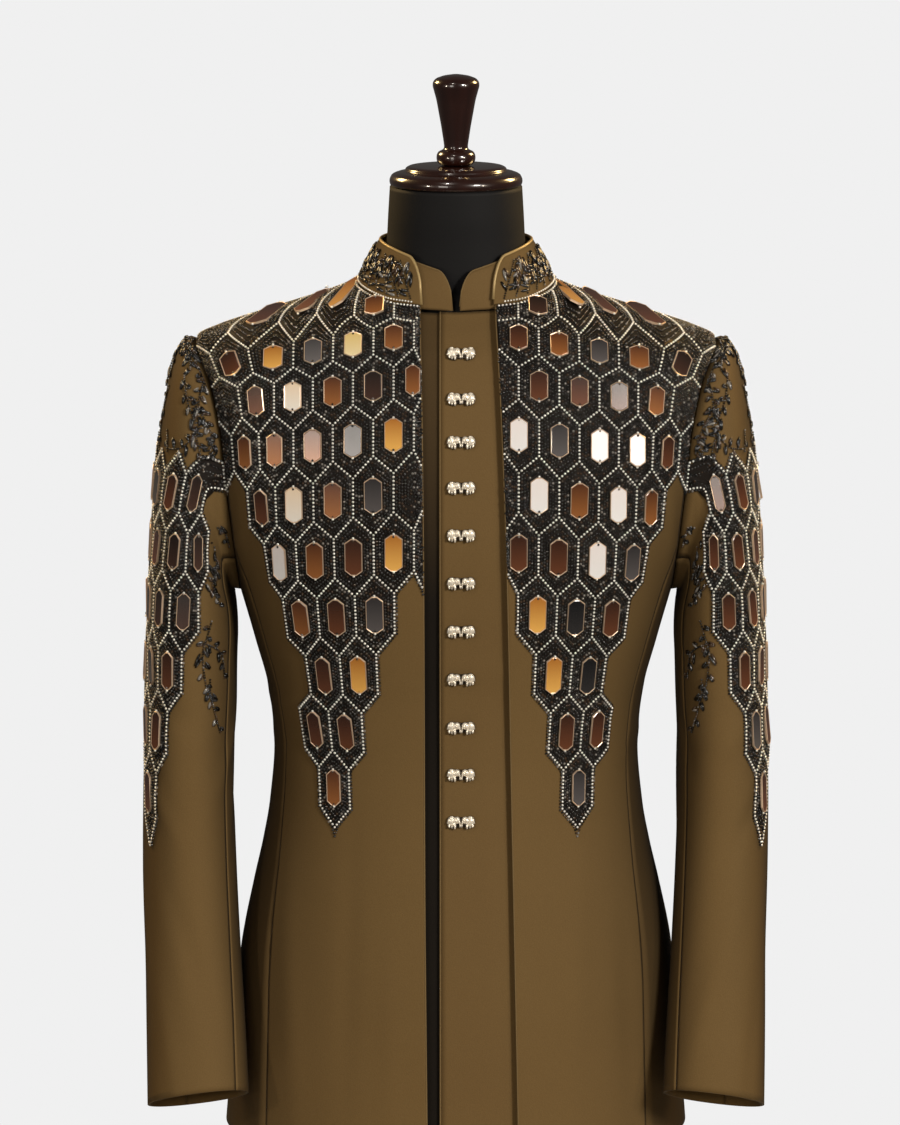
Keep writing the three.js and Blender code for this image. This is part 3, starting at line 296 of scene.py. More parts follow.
# soft creases of the hanging cloth: way round, height, length across, length down, turn, depth
creases = dict(
    frontr=[(208, 735, 9, 55, 0.28, 1.4), (150, 566, 60, 8, 0.10, -0.8), (168, 600, 46, 7, -0.16, 0.9),
            (118, 540, 48, 7, 0.08, 0.5), (95, 380, 10, 120, 0.03, -0.9), (152, 330, 13, 105, -0.05, 1.2),
            (58, 300, 10, 90, 0.02, 0.6), (182, 430, 9, 75, 0.08, 0.9)],
    frontl=[(204, 748, 9, 62, 0.24, 1.2), (156, 556, 58, 8, -0.08, 0.9), (148, 590, 50, 7, 0.14, -0.7),
            (105, 520, 42, 8, 0.05, 0.4), (108, 360, 11, 130, -0.02, 0.9), (160, 320, 12, 95, 0.05, -1.0),
            (70, 310, 9, 100, -0.02, -0.6), (190, 440, 8, 80, -0.06, 1.0)],
    backr=[(34, 590, 55, 8, 0.06, 0.9), (96, 563, 55, 7, -0.12, -0.8), (142, 612, 46, 8, 0.14, 0.9),
           (70, 380, 11, 120, 0.03, 1.1), (132, 340, 12, 110, -0.05, -1.0), (182, 760, 9, 70, 0.2, 1.2),
           (60, 884, 50, 9, -0.1, 0.8), (22, 300, 9, 90, 0.0, 0.7)],
    backl=[(40, 578, 60, 8, -0.07, 0.8), (90, 604, 52, 7, 0.10, -0.7), (150, 556, 42, 8, -0.16, 1.0),
           (84, 350, 12, 130, -0.03, 1.0), (140, 390, 11, 100, 0.05, -0.9), (178, 748, 9, 64, 0.24, 1.1),
           (66, 872, 46, 10, -0.14, 0.7)],
    sider=[(-20, 600, 40, 7, 0.2, 0.8), (25, 560, 38, 8, -0.2, 0.9), (0, 400, 10, 120, 0.05, -0.9)],
    sidel=[(-25, 570, 40, 7, -0.2, 0.9), (20, 610, 38, 8, 0.2, 0.7), (10, 380, 11, 110, -0.04, 0.9)],
)


def creased(way, z, part):
    # sum of long soft ridges and troughs, each a stretched and turned bell
    total = np.zeros(np.broadcast(way, z).shape)
    for w0, z0, across, down, turn, deep in creases.get(part, []):
        a = (way - w0) * math.cos(turn) + (z - z0) * math.sin(turn)
        b = -(way - w0) * math.sin(turn) + (z - z0) * math.cos(turn)
        total += deep * np.exp(-(a / across) ** 2 - (b / down) ** 2)
    return total


def onBody(way, z, lift, part):
    # point of the cloth on the body's level ring, moved out along the body's own direction
    p = ringAt(way, z, part.startswith("back"))
    return p + outward(p) * (np.asarray(lift) + creased(way, z, part))[..., None]


materials = {}


def putMesh(name, points, faces, material, smooth=True, uv=None, colour=None):
    # a mesh from points in millimetres and lists of faces, with a tint for each point if one is given
    mesh = bpy.data.meshes.new(name)
    mesh.from_pydata(np.asarray(points).reshape(-1, 3) * 0.001, [], [])
    faces = [np.asarray(f) for f in (faces if isinstance(faces, list) else [faces])]
    sizes = np.concatenate([np.full(len(f), f.shape[1]) for f in faces])
    corners = np.concatenate([f.ravel() for f in faces])
    mesh.loops.add(len(corners))
    mesh.loops.foreach_set("vertex_index", corners.astype(np.int32))
    mesh.polygons.add(len(sizes))
    mesh.polygons.foreach_set("loop_start", np.concatenate([[0], np.cumsum(sizes)[:-1]]).astype(np.int32))
    mesh.update(calc_edges=True)
    mesh.validate()
    mesh.polygons.foreach_set("use_smooth", np.full(len(mesh.polygons), smooth))
    if uv is not None:
        layer = mesh.uv_layers.new(name="cloth")
        index = np.empty(len(mesh.loops), np.int32)
        mesh.loops.foreach_get("vertex_index", index)
        layer.data.foreach_set("uv", (np.asarray(uv).reshape(-1, 2)[index] * 0.001).ravel())
    if colour is not None:
        tint = mesh.color_attributes.new(name="tint", type="FLOAT_COLOR", domain="POINT")
        flat = np.concatenate([np.asarray(colour), np.ones((len(colour), 1))], 1)
        tint.data.foreach_set("color", flat.astype(np.float32).ravel())
    piece = bpy.data.objects.new(name, mesh)
    bpy.context.scene.collection.objects.link(piece)
    mesh.materials.append(materials[material])
    return piece


def outwardFaces(points, faces):
    # turns every face round if the closed shell's volume is negative
    halves = [f[:, [0, 2, 3]] for f in faces if f.shape[1] == 4]
    tri = np.concatenate([f[:, [0, 1, 2]] for f in faces] + halves)
    p = points.reshape(-1, 3)
    volume = np.einsum("ij,ij->i", p[tri[:, 0]], np.cross(p[tri[:, 1]], p[tri[:, 2]])).sum()
    return [f[:, ::-1] for f in faces] if volume < 0 else faces


def clothShell(name, outer, inner, material, uv=None, mirror=False):
    # closed thin shell between two grids of points, joined by a rim along their middle line
    rows, cols = outer.shape[:2]
    ids = np.arange(rows * cols).reshape(rows, cols)
    far = rows * cols
    quads = np.stack([ids[:-1, :-1], ids[:-1, 1:], ids[1:, 1:], ids[1:, :-1]], -1).reshape(-1, 4)
    loop = np.concatenate([ids[0, :], ids[1:, -1], ids[-1, -2::-1], ids[-2:0:-1, 0]])
    top, low = outer.reshape(-1, 3), inner.reshape(-1, 3)
    rim = (top + low)[loop] / 2
    k = np.roll(np.arange(len(loop)), -1)
    j = np.arange(len(loop))
    points = np.concatenate([top, low, rim])
    faces = [quads, quads[:, ::-1] + far,
             np.stack([loop[k], loop[j], 2 * far + j, 2 * far + k], 1),
             np.stack([2 * far + k, 2 * far + j, loop[j] + far, loop[k] + far], 1)]
    faces = outwardFaces(points, faces)
    if mirror:
        points = points * np.array([-1, 1, 1])
        faces = [f[:, ::-1] for f in faces]
    flat = None if uv is None else uv.reshape(-1, 2)
    uvs = None if uv is None else np.concatenate([flat, flat, flat[loop]])
    return putMesh(name, points, faces, material, uv=uvs)


def declare(piece, nodes):
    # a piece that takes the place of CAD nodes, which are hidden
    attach(piece, "root")
    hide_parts(*nodes)
    return piece


def trim(piece):
    # a piece sewn or set on, which takes no node's place
    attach(piece, "root")
    return piece


# materials
def nodeGroup(name, inputs, outputs):
    group = bpy.data.node_groups.new(name, "ShaderNodeTree")
    for label, kind, value in inputs:
        socket = group.interface.new_socket(name=label, in_out="INPUT", socket_type=kind)
        if value is not None:
            socket.default_value = value
    for label, kind in outputs:
        group.interface.new_socket(name=label, in_out="OUTPUT", socket_type=kind)
    return group, group.nodes.new("NodeGroupInput"), group.nodes.new("NodeGroupOutput")


def mathNode(tree, operation, *values):
    node = tree.nodes.new("ShaderNodeMath")
    node.operation = operation
    for i, v in enumerate(values):
        if isinstance(v, (int, float)):
            node.inputs[i].default_value = v
        else:
            tree.links.new(v, node.inputs[i])
    return node.outputs[0]


def noiseNode(tree, vector, scale, detail=2.0, rough=0.5):
    node = tree.nodes.new("ShaderNodeTexNoise")
    node.inputs["Detail"].default_value = detail
    node.inputs["Roughness"].default_value = rough
    if isinstance(scale, (int, float)):
        node.inputs["Scale"].default_value = scale
    else:
        tree.links.new(scale, node.inputs["Scale"])
    tree.links.new(vector, node.inputs["Vector"])
    return node.outputs["Fac"]


def mixNode(tree, factor, first, second):
    node = tree.nodes.new("ShaderNodeMix")
    node.data_type = "RGBA"
    for socket, v in ((node.inputs[0], factor), (node.inputs[6], first), (node.inputs[7], second)):
        if isinstance(v, (int, float, tuple)):
            socket.default_value = v
        else:
            tree.links.new(v, socket)
    return node.outputs[2]


def weaveGroup():
    # fine noise for the threads and a slow cloud for the nap
    inputs = [("Vector", "NodeSocketVector", None), ("Threads", "NodeSocketFloat", 900.0),
              ("Cloud", "NodeSocketFloat", 9.0)]
    outputs = [("Threads", "NodeSocketFloat"), ("Nap", "NodeSocketFloat")]
    g, start, end = nodeGroup("Weave", inputs, outputs)
    fine = noiseNode(g, start.outputs["Vector"], start.outputs["Threads"], 2.0, 0.6)
    nap = noiseNode(g, start.outputs["Vector"], start.outputs["Cloud"], 4.0, 0.6)
    g.links.new(fine, end.inputs["Threads"])
    g.links.new(nap, end.inputs["Nap"])
    return g


weave = weaveGroup()


def newMaterial(name, **values):
    m = bpy.data.materials.new(name)
    m.use_nodes = True
    tree = m.node_tree
    shader = tree.nodes["Principled BSDF"]
    for label, v in values.items():
        shader.inputs[label.replace("_", " ")].default_value = v
    materials[name] = m
    return m, tree, shader


def clothMaterial(name, colour, dark, light, rough=0.82, sheen=0.04, turn=0.97):
    # two-tone woven cloth with painted shade: the colour darkens where the surface faces away from the view,
    # by as much as turn
    m, tree, shader = newMaterial(name, Roughness=rough, Sheen_Weight=sheen, Sheen_Roughness=0.45)
    shader.inputs["Sheen Tint"].default_value = (*light, 1)
    shader.inputs["Specular IOR Level"].default_value = 0.25
    use = tree.nodes.new("ShaderNodeGroup")
    use.node_tree = weave
    place = tree.nodes.new("ShaderNodeTexCoord")
    tree.links.new(place.outputs["Object"], use.inputs["Vector"])
    base = mixNode(tree, use.outputs["Nap"], (*dark, 1), (*colour, 1))
    base = mixNode(tree, mathNode(tree, "MULTIPLY", use.outputs["Threads"], 0.5), base, (*light, 1))
    # painted shade: the facing weight blends the base colour towards six hundredths of the dark tone at
    # grazing angles
    away = tree.nodes.new("ShaderNodeLayerWeight")
    away.inputs["Blend"].default_value = 0.5
    fall = mathNode(tree, "MULTIPLY", mathNode(tree, "POWER", away.outputs["Facing"], 1.15), turn)
    base = mixNode(tree, fall, base, tuple(0.06 * v for v in dark) + (1.0,))
    tree.links.new(base, shader.inputs["Base Color"])
    bump = tree.nodes.new("ShaderNodeBump")
    bump.inputs["Strength"].default_value = 0.25
    bump.inputs["Distance"].default_value = 0.0004
    tree.links.new(use.outputs["Threads"], bump.inputs["Height"])
    tree.links.new(bump.outputs["Normal"], shader.inputs["Normal"])
    return m


def tintMaterial(name, rough, metallic, **more):
    _, tree, shader = newMaterial(name, Roughness=rough, Metallic=metallic, **more)
    tint = tree.nodes.new("ShaderNodeVertexColor")
    tint.layer_name = "tint"
    tree.links.new(tint.outputs["Color"], shader.inputs["Base Color"])


clothMaterial("jacketCloth", (0.140, 0.084, 0.027), (0.113, 0.065, 0.019), (0.20, 0.128, 0.047))
clothMaterial("innerCloth", (0.135, 0.081, 0.026), (0.112, 0.064, 0.020), (0.20, 0.125, 0.046))
# painted shade: the side panels get the jacket's cloth darkened to about six tenths, for the shade under the
# arms
clothMaterial("sideClothPaintedShade", (0.082, 0.048, 0.014), (0.065, 0.037, 0.010), (0.12, 0.074, 0.025))


def underShade():
    # painted shadow: the under panel's cloth is darker than the inner garment's, and its colour fades to near
    # black lower down, for the jacket's shadow over it
    m = clothMaterial("underClothPaintedShade", (0.090, 0.053, 0.016), (0.070, 0.040, 0.012), (0.13, 0.08, 0.03))
    tree = m.node_tree
    shader = tree.nodes["Principled BSDF"]
    lit = shader.inputs["Base Color"].links[0].from_socket
    place, axes = tree.nodes.new("ShaderNodeTexCoord"), tree.nodes.new("ShaderNodeSeparateXYZ")
    tree.links.new(place.outputs["Object"], axes.inputs[0])
    paintedShadowRamp = tree.nodes.new("ShaderNodeMapRange")
    paintedShadowRamp.inputs["From Min"].default_value, paintedShadowRamp.inputs["From Max"].default_value = 0.70, 0.96
    tree.links.new(axes.outputs["Z"], paintedShadowRamp.inputs["Value"])
    # painted shadow: near black below 0.70 m, blending up to the panel's own darkened colour at 0.96 m
    deep = mixNode(tree, paintedShadowRamp.outputs["Result"], (0.006, 0.0035, 0.0012, 1), lit)
    tree.links.new(deep, shader.inputs["Base Color"])


underShade()
# the edge cords' cloth is lighter than the jacket's: a painted highlight along the sewn edges
clothMaterial("edgeClothPaintedHighlight", (0.17, 0.11, 0.042), (0.14, 0.09, 0.033), (0.24, 0.16, 0.07))
clothMaterial("jersey", (0.0045, 0.0045, 0.005), (0.0035, 0.0035, 0.004), (0.009, 0.009, 0.0095),
              rough=0.7, sheen=0.04, turn=0.3)
clothMaterial("ground", (0.006, 0.003, 0.0015), (0.004, 0.002, 0.001), (0.011, 0.006, 0.003),
              rough=0.75, sheen=0.0, turn=0.0)
tintMaterial("blackBead", 0.12, 0.0, IOR=1.6, Coat_Weight=0.2, Coat_Roughness=0.05)
newMaterial("silverBead", Base_Color=(0.95, 0.93, 0.88, 1), Roughness=0.28, Metallic=0.45)
newMaterial("goldRim", Base_Color=(0.78, 0.58, 0.42, 1), Roughness=0.30, Metallic=0.6)
newMaterial("piping", Base_Color=(0.42, 0.30, 0.13, 1), Roughness=0.45, Metallic=0.3)
tintMaterial("mirror", 0.22, 0.2, Coat_Weight=1.0, Coat_Roughness=0.03)
tintMaterial("buttonMetal", 0.30, 0.45)
newMaterial("blackMetal", Base_Color=(0.012, 0.012, 0.012, 1), Roughness=0.35, Metallic=0.2)


def woodMaterial():
    # long rings bent by noise, under a clear coat
    _, tree, shader = newMaterial("wood", Roughness=0.25, Coat_Weight=1.0, Coat_Roughness=0.04)
    place = tree.nodes.new("ShaderNodeTexCoord")
    stretch = tree.nodes.new("ShaderNodeMapping")
    stretch.inputs["Scale"].default_value = (90, 90, 9)
    tree.links.new(place.outputs["Object"], stretch.inputs["Vector"])
    grain = noiseNode(tree, stretch.outputs["Vector"], 1.0, 5.0, 0.65)
    stain = mixNode(tree, grain, (0.004, 0.0012, 0.0008, 1), (0.028, 0.006, 0.003, 1))
    tree.links.new(stain, shader.inputs["Base Color"])


woodMaterial()
print("materials ready")


# front panels
def rowSteps(heights, size):
    # line numbers with as many steps between two lines as their distance asks for
    far = np.abs(np.diff(heights)).mean(1)
    parts = [np.linspace(i, i + 1, max(2, int(round(d / size))) + 1)[:-1] for i, d in enumerate(far)]
    return np.concatenate(parts + [[len(far)]])


frontMaker = dict(rowSize=6.0, columnParts=4, wall=2.0, edgeWide=1.7, edgeOut=0.5)
lattices = {"r": frontLattice("r"), "l": frontLattice("l")}
signs = {"r": -1.0, "l": 1.0}


def latticePoint(side, r, c, lift=0.0):
    # point over the front panel at a line and column of its honeycomb, on the wearer's left half
    ways, heights = lattices[side]
    w, z = between(ways, r, c), between(heights, r, c)
    return onBody(w, z, lift, "front" + side)


def frontPanel(side):
    ways, heights = lattices[side]
    r = rowSteps(heights, frontMaker["rowSize"])
    c = np.linspace(0, ways.shape[1] - 1, (ways.shape[1] - 1) * frontMaker["columnParts"] + 1)
    rr, cc = np.meshgrid(r, c, indexing="ij")
    w, z = between(ways, rr, cc), between(heights, rr, cc)
    outer = onBody(w, z, 0, "front" + side)
    inner = onBody(w, z, -frontMaker["wall"], "front" + side)
    piece = clothShell("jacketFront_" + side, outer, inner, "jacketCloth", np.stack([w, z], -1), side == "r")
    declare(piece, ["jacket_front_" + side])
    edge = tube(latticePoint(side, rr[:, 0], np.full(len(r), 0.05), frontMaker["edgeOut"] - 1.0),
                frontMaker["edgeWide"] / 2, 8)
    flip = np.array([signs[side], 1, 1])
    points = edge[0] * flip
    trim(putMesh("frontEdge_" + side, points, outwardFaces(points, edge[1]), "edgeClothPaintedHighlight"))


def tube(path, radius, around=8):
    # round cord along a path: rings square to it, closed by a cap at each end
    apart = np.linalg.norm(np.diff(path, axis=0), axis=1) > 1e-3
    path = path[np.concatenate([[True], apart])]
    step = np.gradient(path, axis=0)
    step /= np.linalg.norm(step, axis=1, keepdims=True)
    side = np.cross(step, np.array([0.13, -0.4, 0.9]))
    side /= np.linalg.norm(side, axis=1, keepdims=True)
    other = np.cross(step, side)
    t = np.linspace(0, 2 * math.pi, around, endpoint=False)
    radius = np.broadcast_to(radius, len(path))[:, None, None]
    ring = side[:, None] * np.cos(t)[None, :, None] + other[:, None] * np.sin(t)[None, :, None]
    points = (path[:, None] + ring * radius).reshape(-1, 3)
    ids = np.arange(len(path) * around).reshape(len(path), around)
    nxt = np.roll(ids, -1, 1)
    quads = np.stack([ids[:-1], nxt[:-1], nxt[1:], ids[1:]], -1).reshape(-1, 4)
    n = len(points)
    points = np.concatenate([points, path[:1], path[-1:]])
    caps = np.concatenate([np.stack([ids[0], nxt[0], np.full(around, n)], 1)[:, ::-1],
                           np.stack([ids[-1], nxt[-1], np.full(around, n + 1)], 1)])
    return points, [quads, caps]


# back panels
backMaker = dict(columns=40, wall=2.0, topLow=896.0)
# top edge of a back panel: share of its width, and the way out from the middle in millimetres or by name
backTop = [(0.0, 0.15), (0.14, 30), (0.28, 70), (0.42, "corner"), (0.56, 148), (0.7, 182), (0.85, 220),
           (1.0, "apex")]


def backTopPoints():
    apex = body["armMiddle"] + body["armHigh"] - 0.02
    out = []
    for share, place in backTop:
        if place == "corner":
            out.append((share, float(quarter(body["corner"], True)[0]) - 0.15, body["corner"]))
        elif place == "apex":
            out.append((share, float(quarter(apex, True)[0]) - 0.15, apex))
        elif place > 100:
            z = ridgeHeight(place, True)
            out.append((share, float(quarter(z, True)[0]) - 0.15, z))
        else:
            out.append((share, max(0.15, place), float(neckBack(place))))
    return np.array(out)


def backPanel(side):
    top = backTopPoints()
    s = np.linspace(0, 1, backMaker["columns"] + 1)
    topWay, topZ = np.interp(s, top[:, 0], top[:, 1]), np.interp(s, top[:, 0], top[:, 2])
    low = backMaker["topLow"]
    t = np.linspace(0, 1, 22)[:-1, None] ** 1.6
    turn = math.acos((low - body["armMiddle"]) / body["armHigh"])
    lowWay = 0.15 + (outerEdge(low, True) - 0.15) * s
    upperWay, upperZ = topWay + (lowWay - topWay) * t, topZ + (low - topZ) * t
    bowZ = body["armMiddle"] + body["armHigh"] * np.cos(turn * t[:, 0]) - 0.02
    bowWay = np.array([upperWay[0, -1]] + [outerEdge(v, True) for v in bowZ[1:]])
    upperZ, upperWay = upperZ + (bowZ - upperZ[:, -1])[:, None] * s ** 3, \
        upperWay + (bowWay - upperWay[:, -1])[:, None] * s ** 3
    z = np.unique(np.concatenate([np.linspace(body["hem"], low, 115), [body["join"]]]))[::-1]
    ends = np.array([outerEdge(v, True) for v in z])
    way = np.concatenate([upperWay, 0.15 + (ends[:, None] - 0.15) * s])
    high = np.concatenate([upperZ, np.repeat(z[:, None], len(s), 1)])
    outer, inner = onBody(way, high, 0, "back" + side), onBody(way, high, -backMaker["wall"], "back" + side)
    uv = np.stack([way + 300, high], -1)
    piece = clothShell("jacketBack_" + side, outer, inner, "jacketCloth", uv, side == "r")
    declare(piece, ["jacket_back_" + side])


# side panels
def sidePoint(y, z, lift, part):
    # point of the body's side at this depth and height
    deep = np.where(y > 0, backDeep(z), frontDeep(z))
    n = roundness(z)
    x = halfWide(z) * (1 - np.minimum(1, np.abs(y) / deep) ** n) ** (1 / n)
    p = np.stack([x, y, z], -1)
    return p + outward(p) * (lift + creased(y, z, part))[..., None]


def sidePanel(side):
    z = np.linspace(1, 0, 86) ** 1.0
    s = np.linspace(0, 1, 25)

    def reach(height, back):
        n, deep = float(roundness(height)), float((backDeep if back else frontDeep)(height))
        x = float(sideSeams[back](height)) / float(halfWide(height))
        return deep * (1 - x ** n) ** (1 / n) - 0.15
    y0, y1 = -reach(body["join"], False), reach(body["join"], True)
    topY = y0 + (y1 - y0) * s
    wide = np.where(topY < 0, body["armFront"], body["armBack"])
    topZ = body["armMiddle"] - body["armHigh"] * np.sqrt(1 - (topY / wide) ** 2)
    rows = body["hem"] + (672 - body["hem"]) * z
    ends = np.array([(-reach(v, False), reach(v, True)) for v in rows])
    lowY = ends[:, :1] + (ends[:, 1:] - ends[:, :1]) * s
    blend = np.linspace(0, 1, 10)[:-1, None]
    yy = np.concatenate([topY + (lowY[0] - topY) * blend, lowY])
    zz = np.concatenate([topZ + (672 - topZ) * blend, np.repeat(rows[:, None], len(s), 1)])
    outer, inner = sidePoint(yy, zz, 0.0, "side" + side), sidePoint(yy, zz, -2.0, "side" + side)
    uv = np.stack([yy + 700, zz], -1)
    piece = clothShell("jacketSide_" + side, outer, inner, "sideClothPaintedShade", uv, side == "r")
    declare(piece, ["jacket_side_" + side])


for side in "rl":
    frontPanel(side)
    backPanel(side)
    sidePanel(side)
print("jacket body ready")


# sleeves, a row for each section: outer point x z, inner point x z, half depth, middle y, pitch in degrees
sleeveTable = np.array([
    (237, 914, 196, 692.5, 66, 3, 0), (247, 894, 196, 690.5, 70, 4, 0),
    (254.5, 862, 195.5, 688.5, 73, 4, 0), (259.5, 830, 195, 686.5, 74.5, 4, 0),
    (262.5, 804, 194.5, 684.5, 75, 4, 0), (265, 770, 194, 681.5, 75, 4, 1),
    (266, 752, 193.6, 679, 75, 4, 1), (268.3, 718, 193, 673, 74.5, 3, 2),
    (269.5, 700, 192.6, 668, 74, 3, 2), (271, 666, 192.3, 650, 73, 2, 3),
    (272, 648, 192.8, 638, 72, 1, 4), (273, 614, 193.6, 611, 70, -2, 5),
    (273.8, 596, 194.2, 595, 69, -3, 5), (275, 562, 195.6, 562, 66.5, -7, 7),
    (275.6, 544, 196, 544, 65, -9, 8), (276.2, 510, 196, 510, 62.5, -14, 10),
    (276.2, 492, 195.6, 492, 61, -17, 11), (275.6, 440, 193.5, 440, 57, -29, 15),
    (274, 380, 190, 380, 53, -47, 19), (272.4, 314, 185.5, 318, 48.5, -71, 21),
    (270.5, 249, 181.5, 261, 45, -99, 22),
])
sleeveMaker = dict(round=2.15, around=22, shift=0.45, front=9.0, back=-4.0, gap=0.9, wall=2.0,
                   columnStep=0.25)
creases.update(
    sleever=[(40, 560, 9, 40, 0.7, -1.6), (64, 520, 8, 46, 0.55, 1.4), (88, 590, 10, 40, 0.9, -1.2),
             (30, 420, 12, 90, 0.2, 1.0), (96, 380, 10, 70, 0.3, -1.3), (70, 300, 9, 60, 0.15, 0.9),
             (150, 560, 9, 46, -0.6, 1.5), (176, 510, 9, 50, -0.5, -1.3), (230, 430, 11, 80, 0.2, 1.2)],
    sleevel=[(46, 548, 9, 44, 0.62, 1.5), (74, 500, 8, 40, 0.5, -1.3), (94, 566, 10, 44, 0.85, 1.3),
             (26, 400, 12, 80, -0.15, -0.9), (100, 360, 10, 64, 0.3, 1.2), (60, 290, 9, 66, 0.1, -0.8),
             (146, 580, 9, 40, -0.5, -1.3), (180, 530, 9, 56, -0.4, 1.4), (236, 400, 11, 90, 0.2, -1.1)],
)


def sleeveRings():
    # each section as a rounded oval with even steps round it, where ring 0 is the armhole itself
    turn = np.linspace(0, 2 * math.pi, 721)
    c, s = np.cos(turn), np.sin(turn)
    wide = np.where(s > 0, body["armFront"], body["armBack"]) - sleeveMaker["gap"]
    y = -wide * s
    z = body["armMiddle"] + (body["armHigh"] - sleeveMaker["gap"]) * c
    deep = np.where(y > 0, backDeep(z), frontDeep(z))
    n = roundness(z)
    x = halfWide(z) * (1 - np.minimum(1, np.abs(y) / deep) ** n) ** (1 / n) + 0.5
    rings = [np.stack([x, y, z], -1)]
    e = 2 / sleeveMaker["round"]
    for ox, oz, ix, iz, h, my, pitch in sleeveTable:
        u = np.sign(c) * np.abs(c) ** e / 2
        v = h * np.sign(s) * np.abs(s) ** e
        a = math.radians(pitch)
        rings.append(np.stack([(ox + ix) / 2 + (ox - ix) * u, my - v * math.cos(a),
                               (oz + iz) / 2 + (oz - iz) * u + v * math.sin(a)], -1))
    columns = np.arange(sleeveMaker["back"], sleeveMaker["back"] + sleeveMaker["around"] + 1e-6,
                        sleeveMaker["columnStep"])
    out = []
    for ring in rings:
        way = np.concatenate([[0], np.cumsum(np.linalg.norm(np.diff(ring, axis=0), axis=1))])
        goal = ((columns - sleeveMaker["shift"]) / sleeveMaker["around"]) % 1 * way[-1]
        out.append(np.stack([np.interp(goal, way, ring[:, k]) for k in range(3)], -1))
    return columns, np.array(out)


sleeveColumns, sleeveRingsFine = sleeveRings()
sleeveWay = np.concatenate([[0], np.cumsum(np.linalg.norm(np.diff(sleeveRingsFine, axis=0), axis=2).mean(1))])
sleeveSlopes = np.gradient(sleeveRingsFine, sleeveWay, axis=0)


def sleeveBase(line, column):
    # point at a line (0 the armhole) and column, a cubic along each column through all the rings
    line, column = np.broadcast_arrays(np.asarray(line, float), np.asarray(column, float))
    around = sleeveMaker["around"]
    c = (column - sleeveMaker["back"]) % around / sleeveMaker["columnStep"]
    j = np.minimum(c.astype(int), len(sleeveColumns) - 2)
    s = (c - j)[..., None]
    i = np.clip(line.astype(int), 0, len(sleeveWay) - 2)
    t = (line - i)[..., None]
    w = (sleeveWay[i + 1] - sleeveWay[i])[..., None]

    def across(table, row):
        return table[row, j] * (1 - s) + table[row, j + 1] * s
    p, q = across(sleeveRingsFine, i), across(sleeveRingsFine, i + 1)
    m, k = across(sleeveSlopes, i), across(sleeveSlopes, i + 1)
    return (p * (1 + 2 * t) * (1 - t) ** 2 + q * t * t * (3 - 2 * t)
            + w * m * t * (1 - t) ** 2 + w * k * t * t * (t - 1))


def sleeveNormal(line, column):
    across = sleeveBase(line, column + 0.2) - sleeveBase(line, column - 0.2)
    low, high = np.minimum(line + 0.15, 20.999), np.maximum(line - 0.15, 0)
    down = sleeveBase(low, column) - sleeveBase(high, column)
    n = np.cross(down, across)
    n /= np.linalg.norm(n, axis=-1, keepdims=True)
    out = sleeveBase(line, column) - sleeveBase(line, column + sleeveMaker["around"] / 2)
    return n * np.where((n * out).sum(-1, keepdims=True) < 0, -1, 1)


def sleevePoint(side, line, column, lift=0.0):
    p = sleeveBase(line, column)
    calm = np.clip(np.asarray(line) / 3, 0, 1)
    bend = creased(column * 14 + 10, p[..., 2], "sleeve" + side) * calm
    return p + sleeveNormal(line, column) * (np.asarray(lift) + bend)[..., None]


def sleevePanel(side, name, first, last):
    sizes = np.diff(sleeveWay)
    parts = [np.linspace(i, i + 1, max(2, int(d / 6)) + 1)[:-1] for i, d in enumerate(sizes)]
    lines = np.concatenate(parts + [[21]])
    trimmed = 0.01
    columns = np.linspace(first + trimmed, last - trimmed, int((last - first) * 4) + 1)
    ll, cc = np.meshgrid(lines, columns, indexing="ij")
    outer = sleevePoint(side, ll, cc, 0.0)
    inner = sleevePoint(side, ll, cc, -sleeveMaker["wall"])
    uv = np.stack([cc * 14 + 1000, np.interp(ll, np.arange(22), sleeveWay)], -1)
    piece = clothShell("sleeve" + name + "_" + side, outer, inner, "jacketCloth", uv, side == "r")
    declare(piece, ["sleeve_%s_%s" % (name.lower(), side)])


backAgain = sleeveMaker["back"] + sleeveMaker["around"]
for side in "rl":
    sleevePanel(side, "Top", sleeveMaker["back"], sleeveMaker["front"])
    sleevePanel(side, "Under", sleeveMaker["front"], backAgain)
print("sleeves ready")


# collars
collarTable = dict(
    jacket=dict(ends=(-0.86, 0.85), depth=0, wall=2, lift=1.5, inset=1.2, round=16, a=66.8, f=57.5, b=58.5,
                side=1001, back=1005, front=978),
    innerR=dict(ends=(-0.985, -0.003), depth=6.5, wall=1.5, lift=1, inset=0, round=14, a=64, f=54.5, b=55.7,
                side=996, back=999, front=975),
    innerL=dict(ends=(0.003, 0.985), depth=6.5, wall=1.5, lift=1, inset=0, round=14, a=64, f=54.5, b=55.7,
                side=996, back=999, front=975),
)


def neckPoint(share, depth):
    # point of the neck line, 0 the middle of the back, 0.5 the side, 1 the middle of the front
    corner = {back: float(quarter(body["corner"], back)[0]) for back in (False, True)}
    out = np.empty((len(share), 3))
    for back in (False, True):
        use = (share > 0.5) != back
        way = corner[back] * (2 * share[use] if back else 2 - 2 * share[use])
        z = (neckBack if back else neckFront)(way)
        out[use] = ringAt(way, z, back)
    return out - outward(out) * depth


def collarPoint(make, t, v, lift=0.0):
    # t is the signed way round and v the share of the way up, and both ends are rounded off
    s = np.abs(t)
    base = neckPoint(s, make["depth"])
    angle = math.pi * s
    d = np.where(np.cos(angle) > 0, make["b"], make["f"])
    high = np.where(s < 0.5, make["back"] + (make["side"] - make["back"]) * 2 * s,
                    make["side"] + (make["front"] - make["side"]) * np.clip(2 * s - 1, 0, 1) ** 1.6)
    head = np.stack([make["a"] * np.sin(angle), d * np.cos(angle), high], -1)
    shrink = 1 - make["inset"] / np.hypot(base[:, 0], base[:, 1])
    low = np.stack([base[:, 0] * shrink, base[:, 1] * shrink, base[:, 2] + make["lift"]], -1)
    return low, head


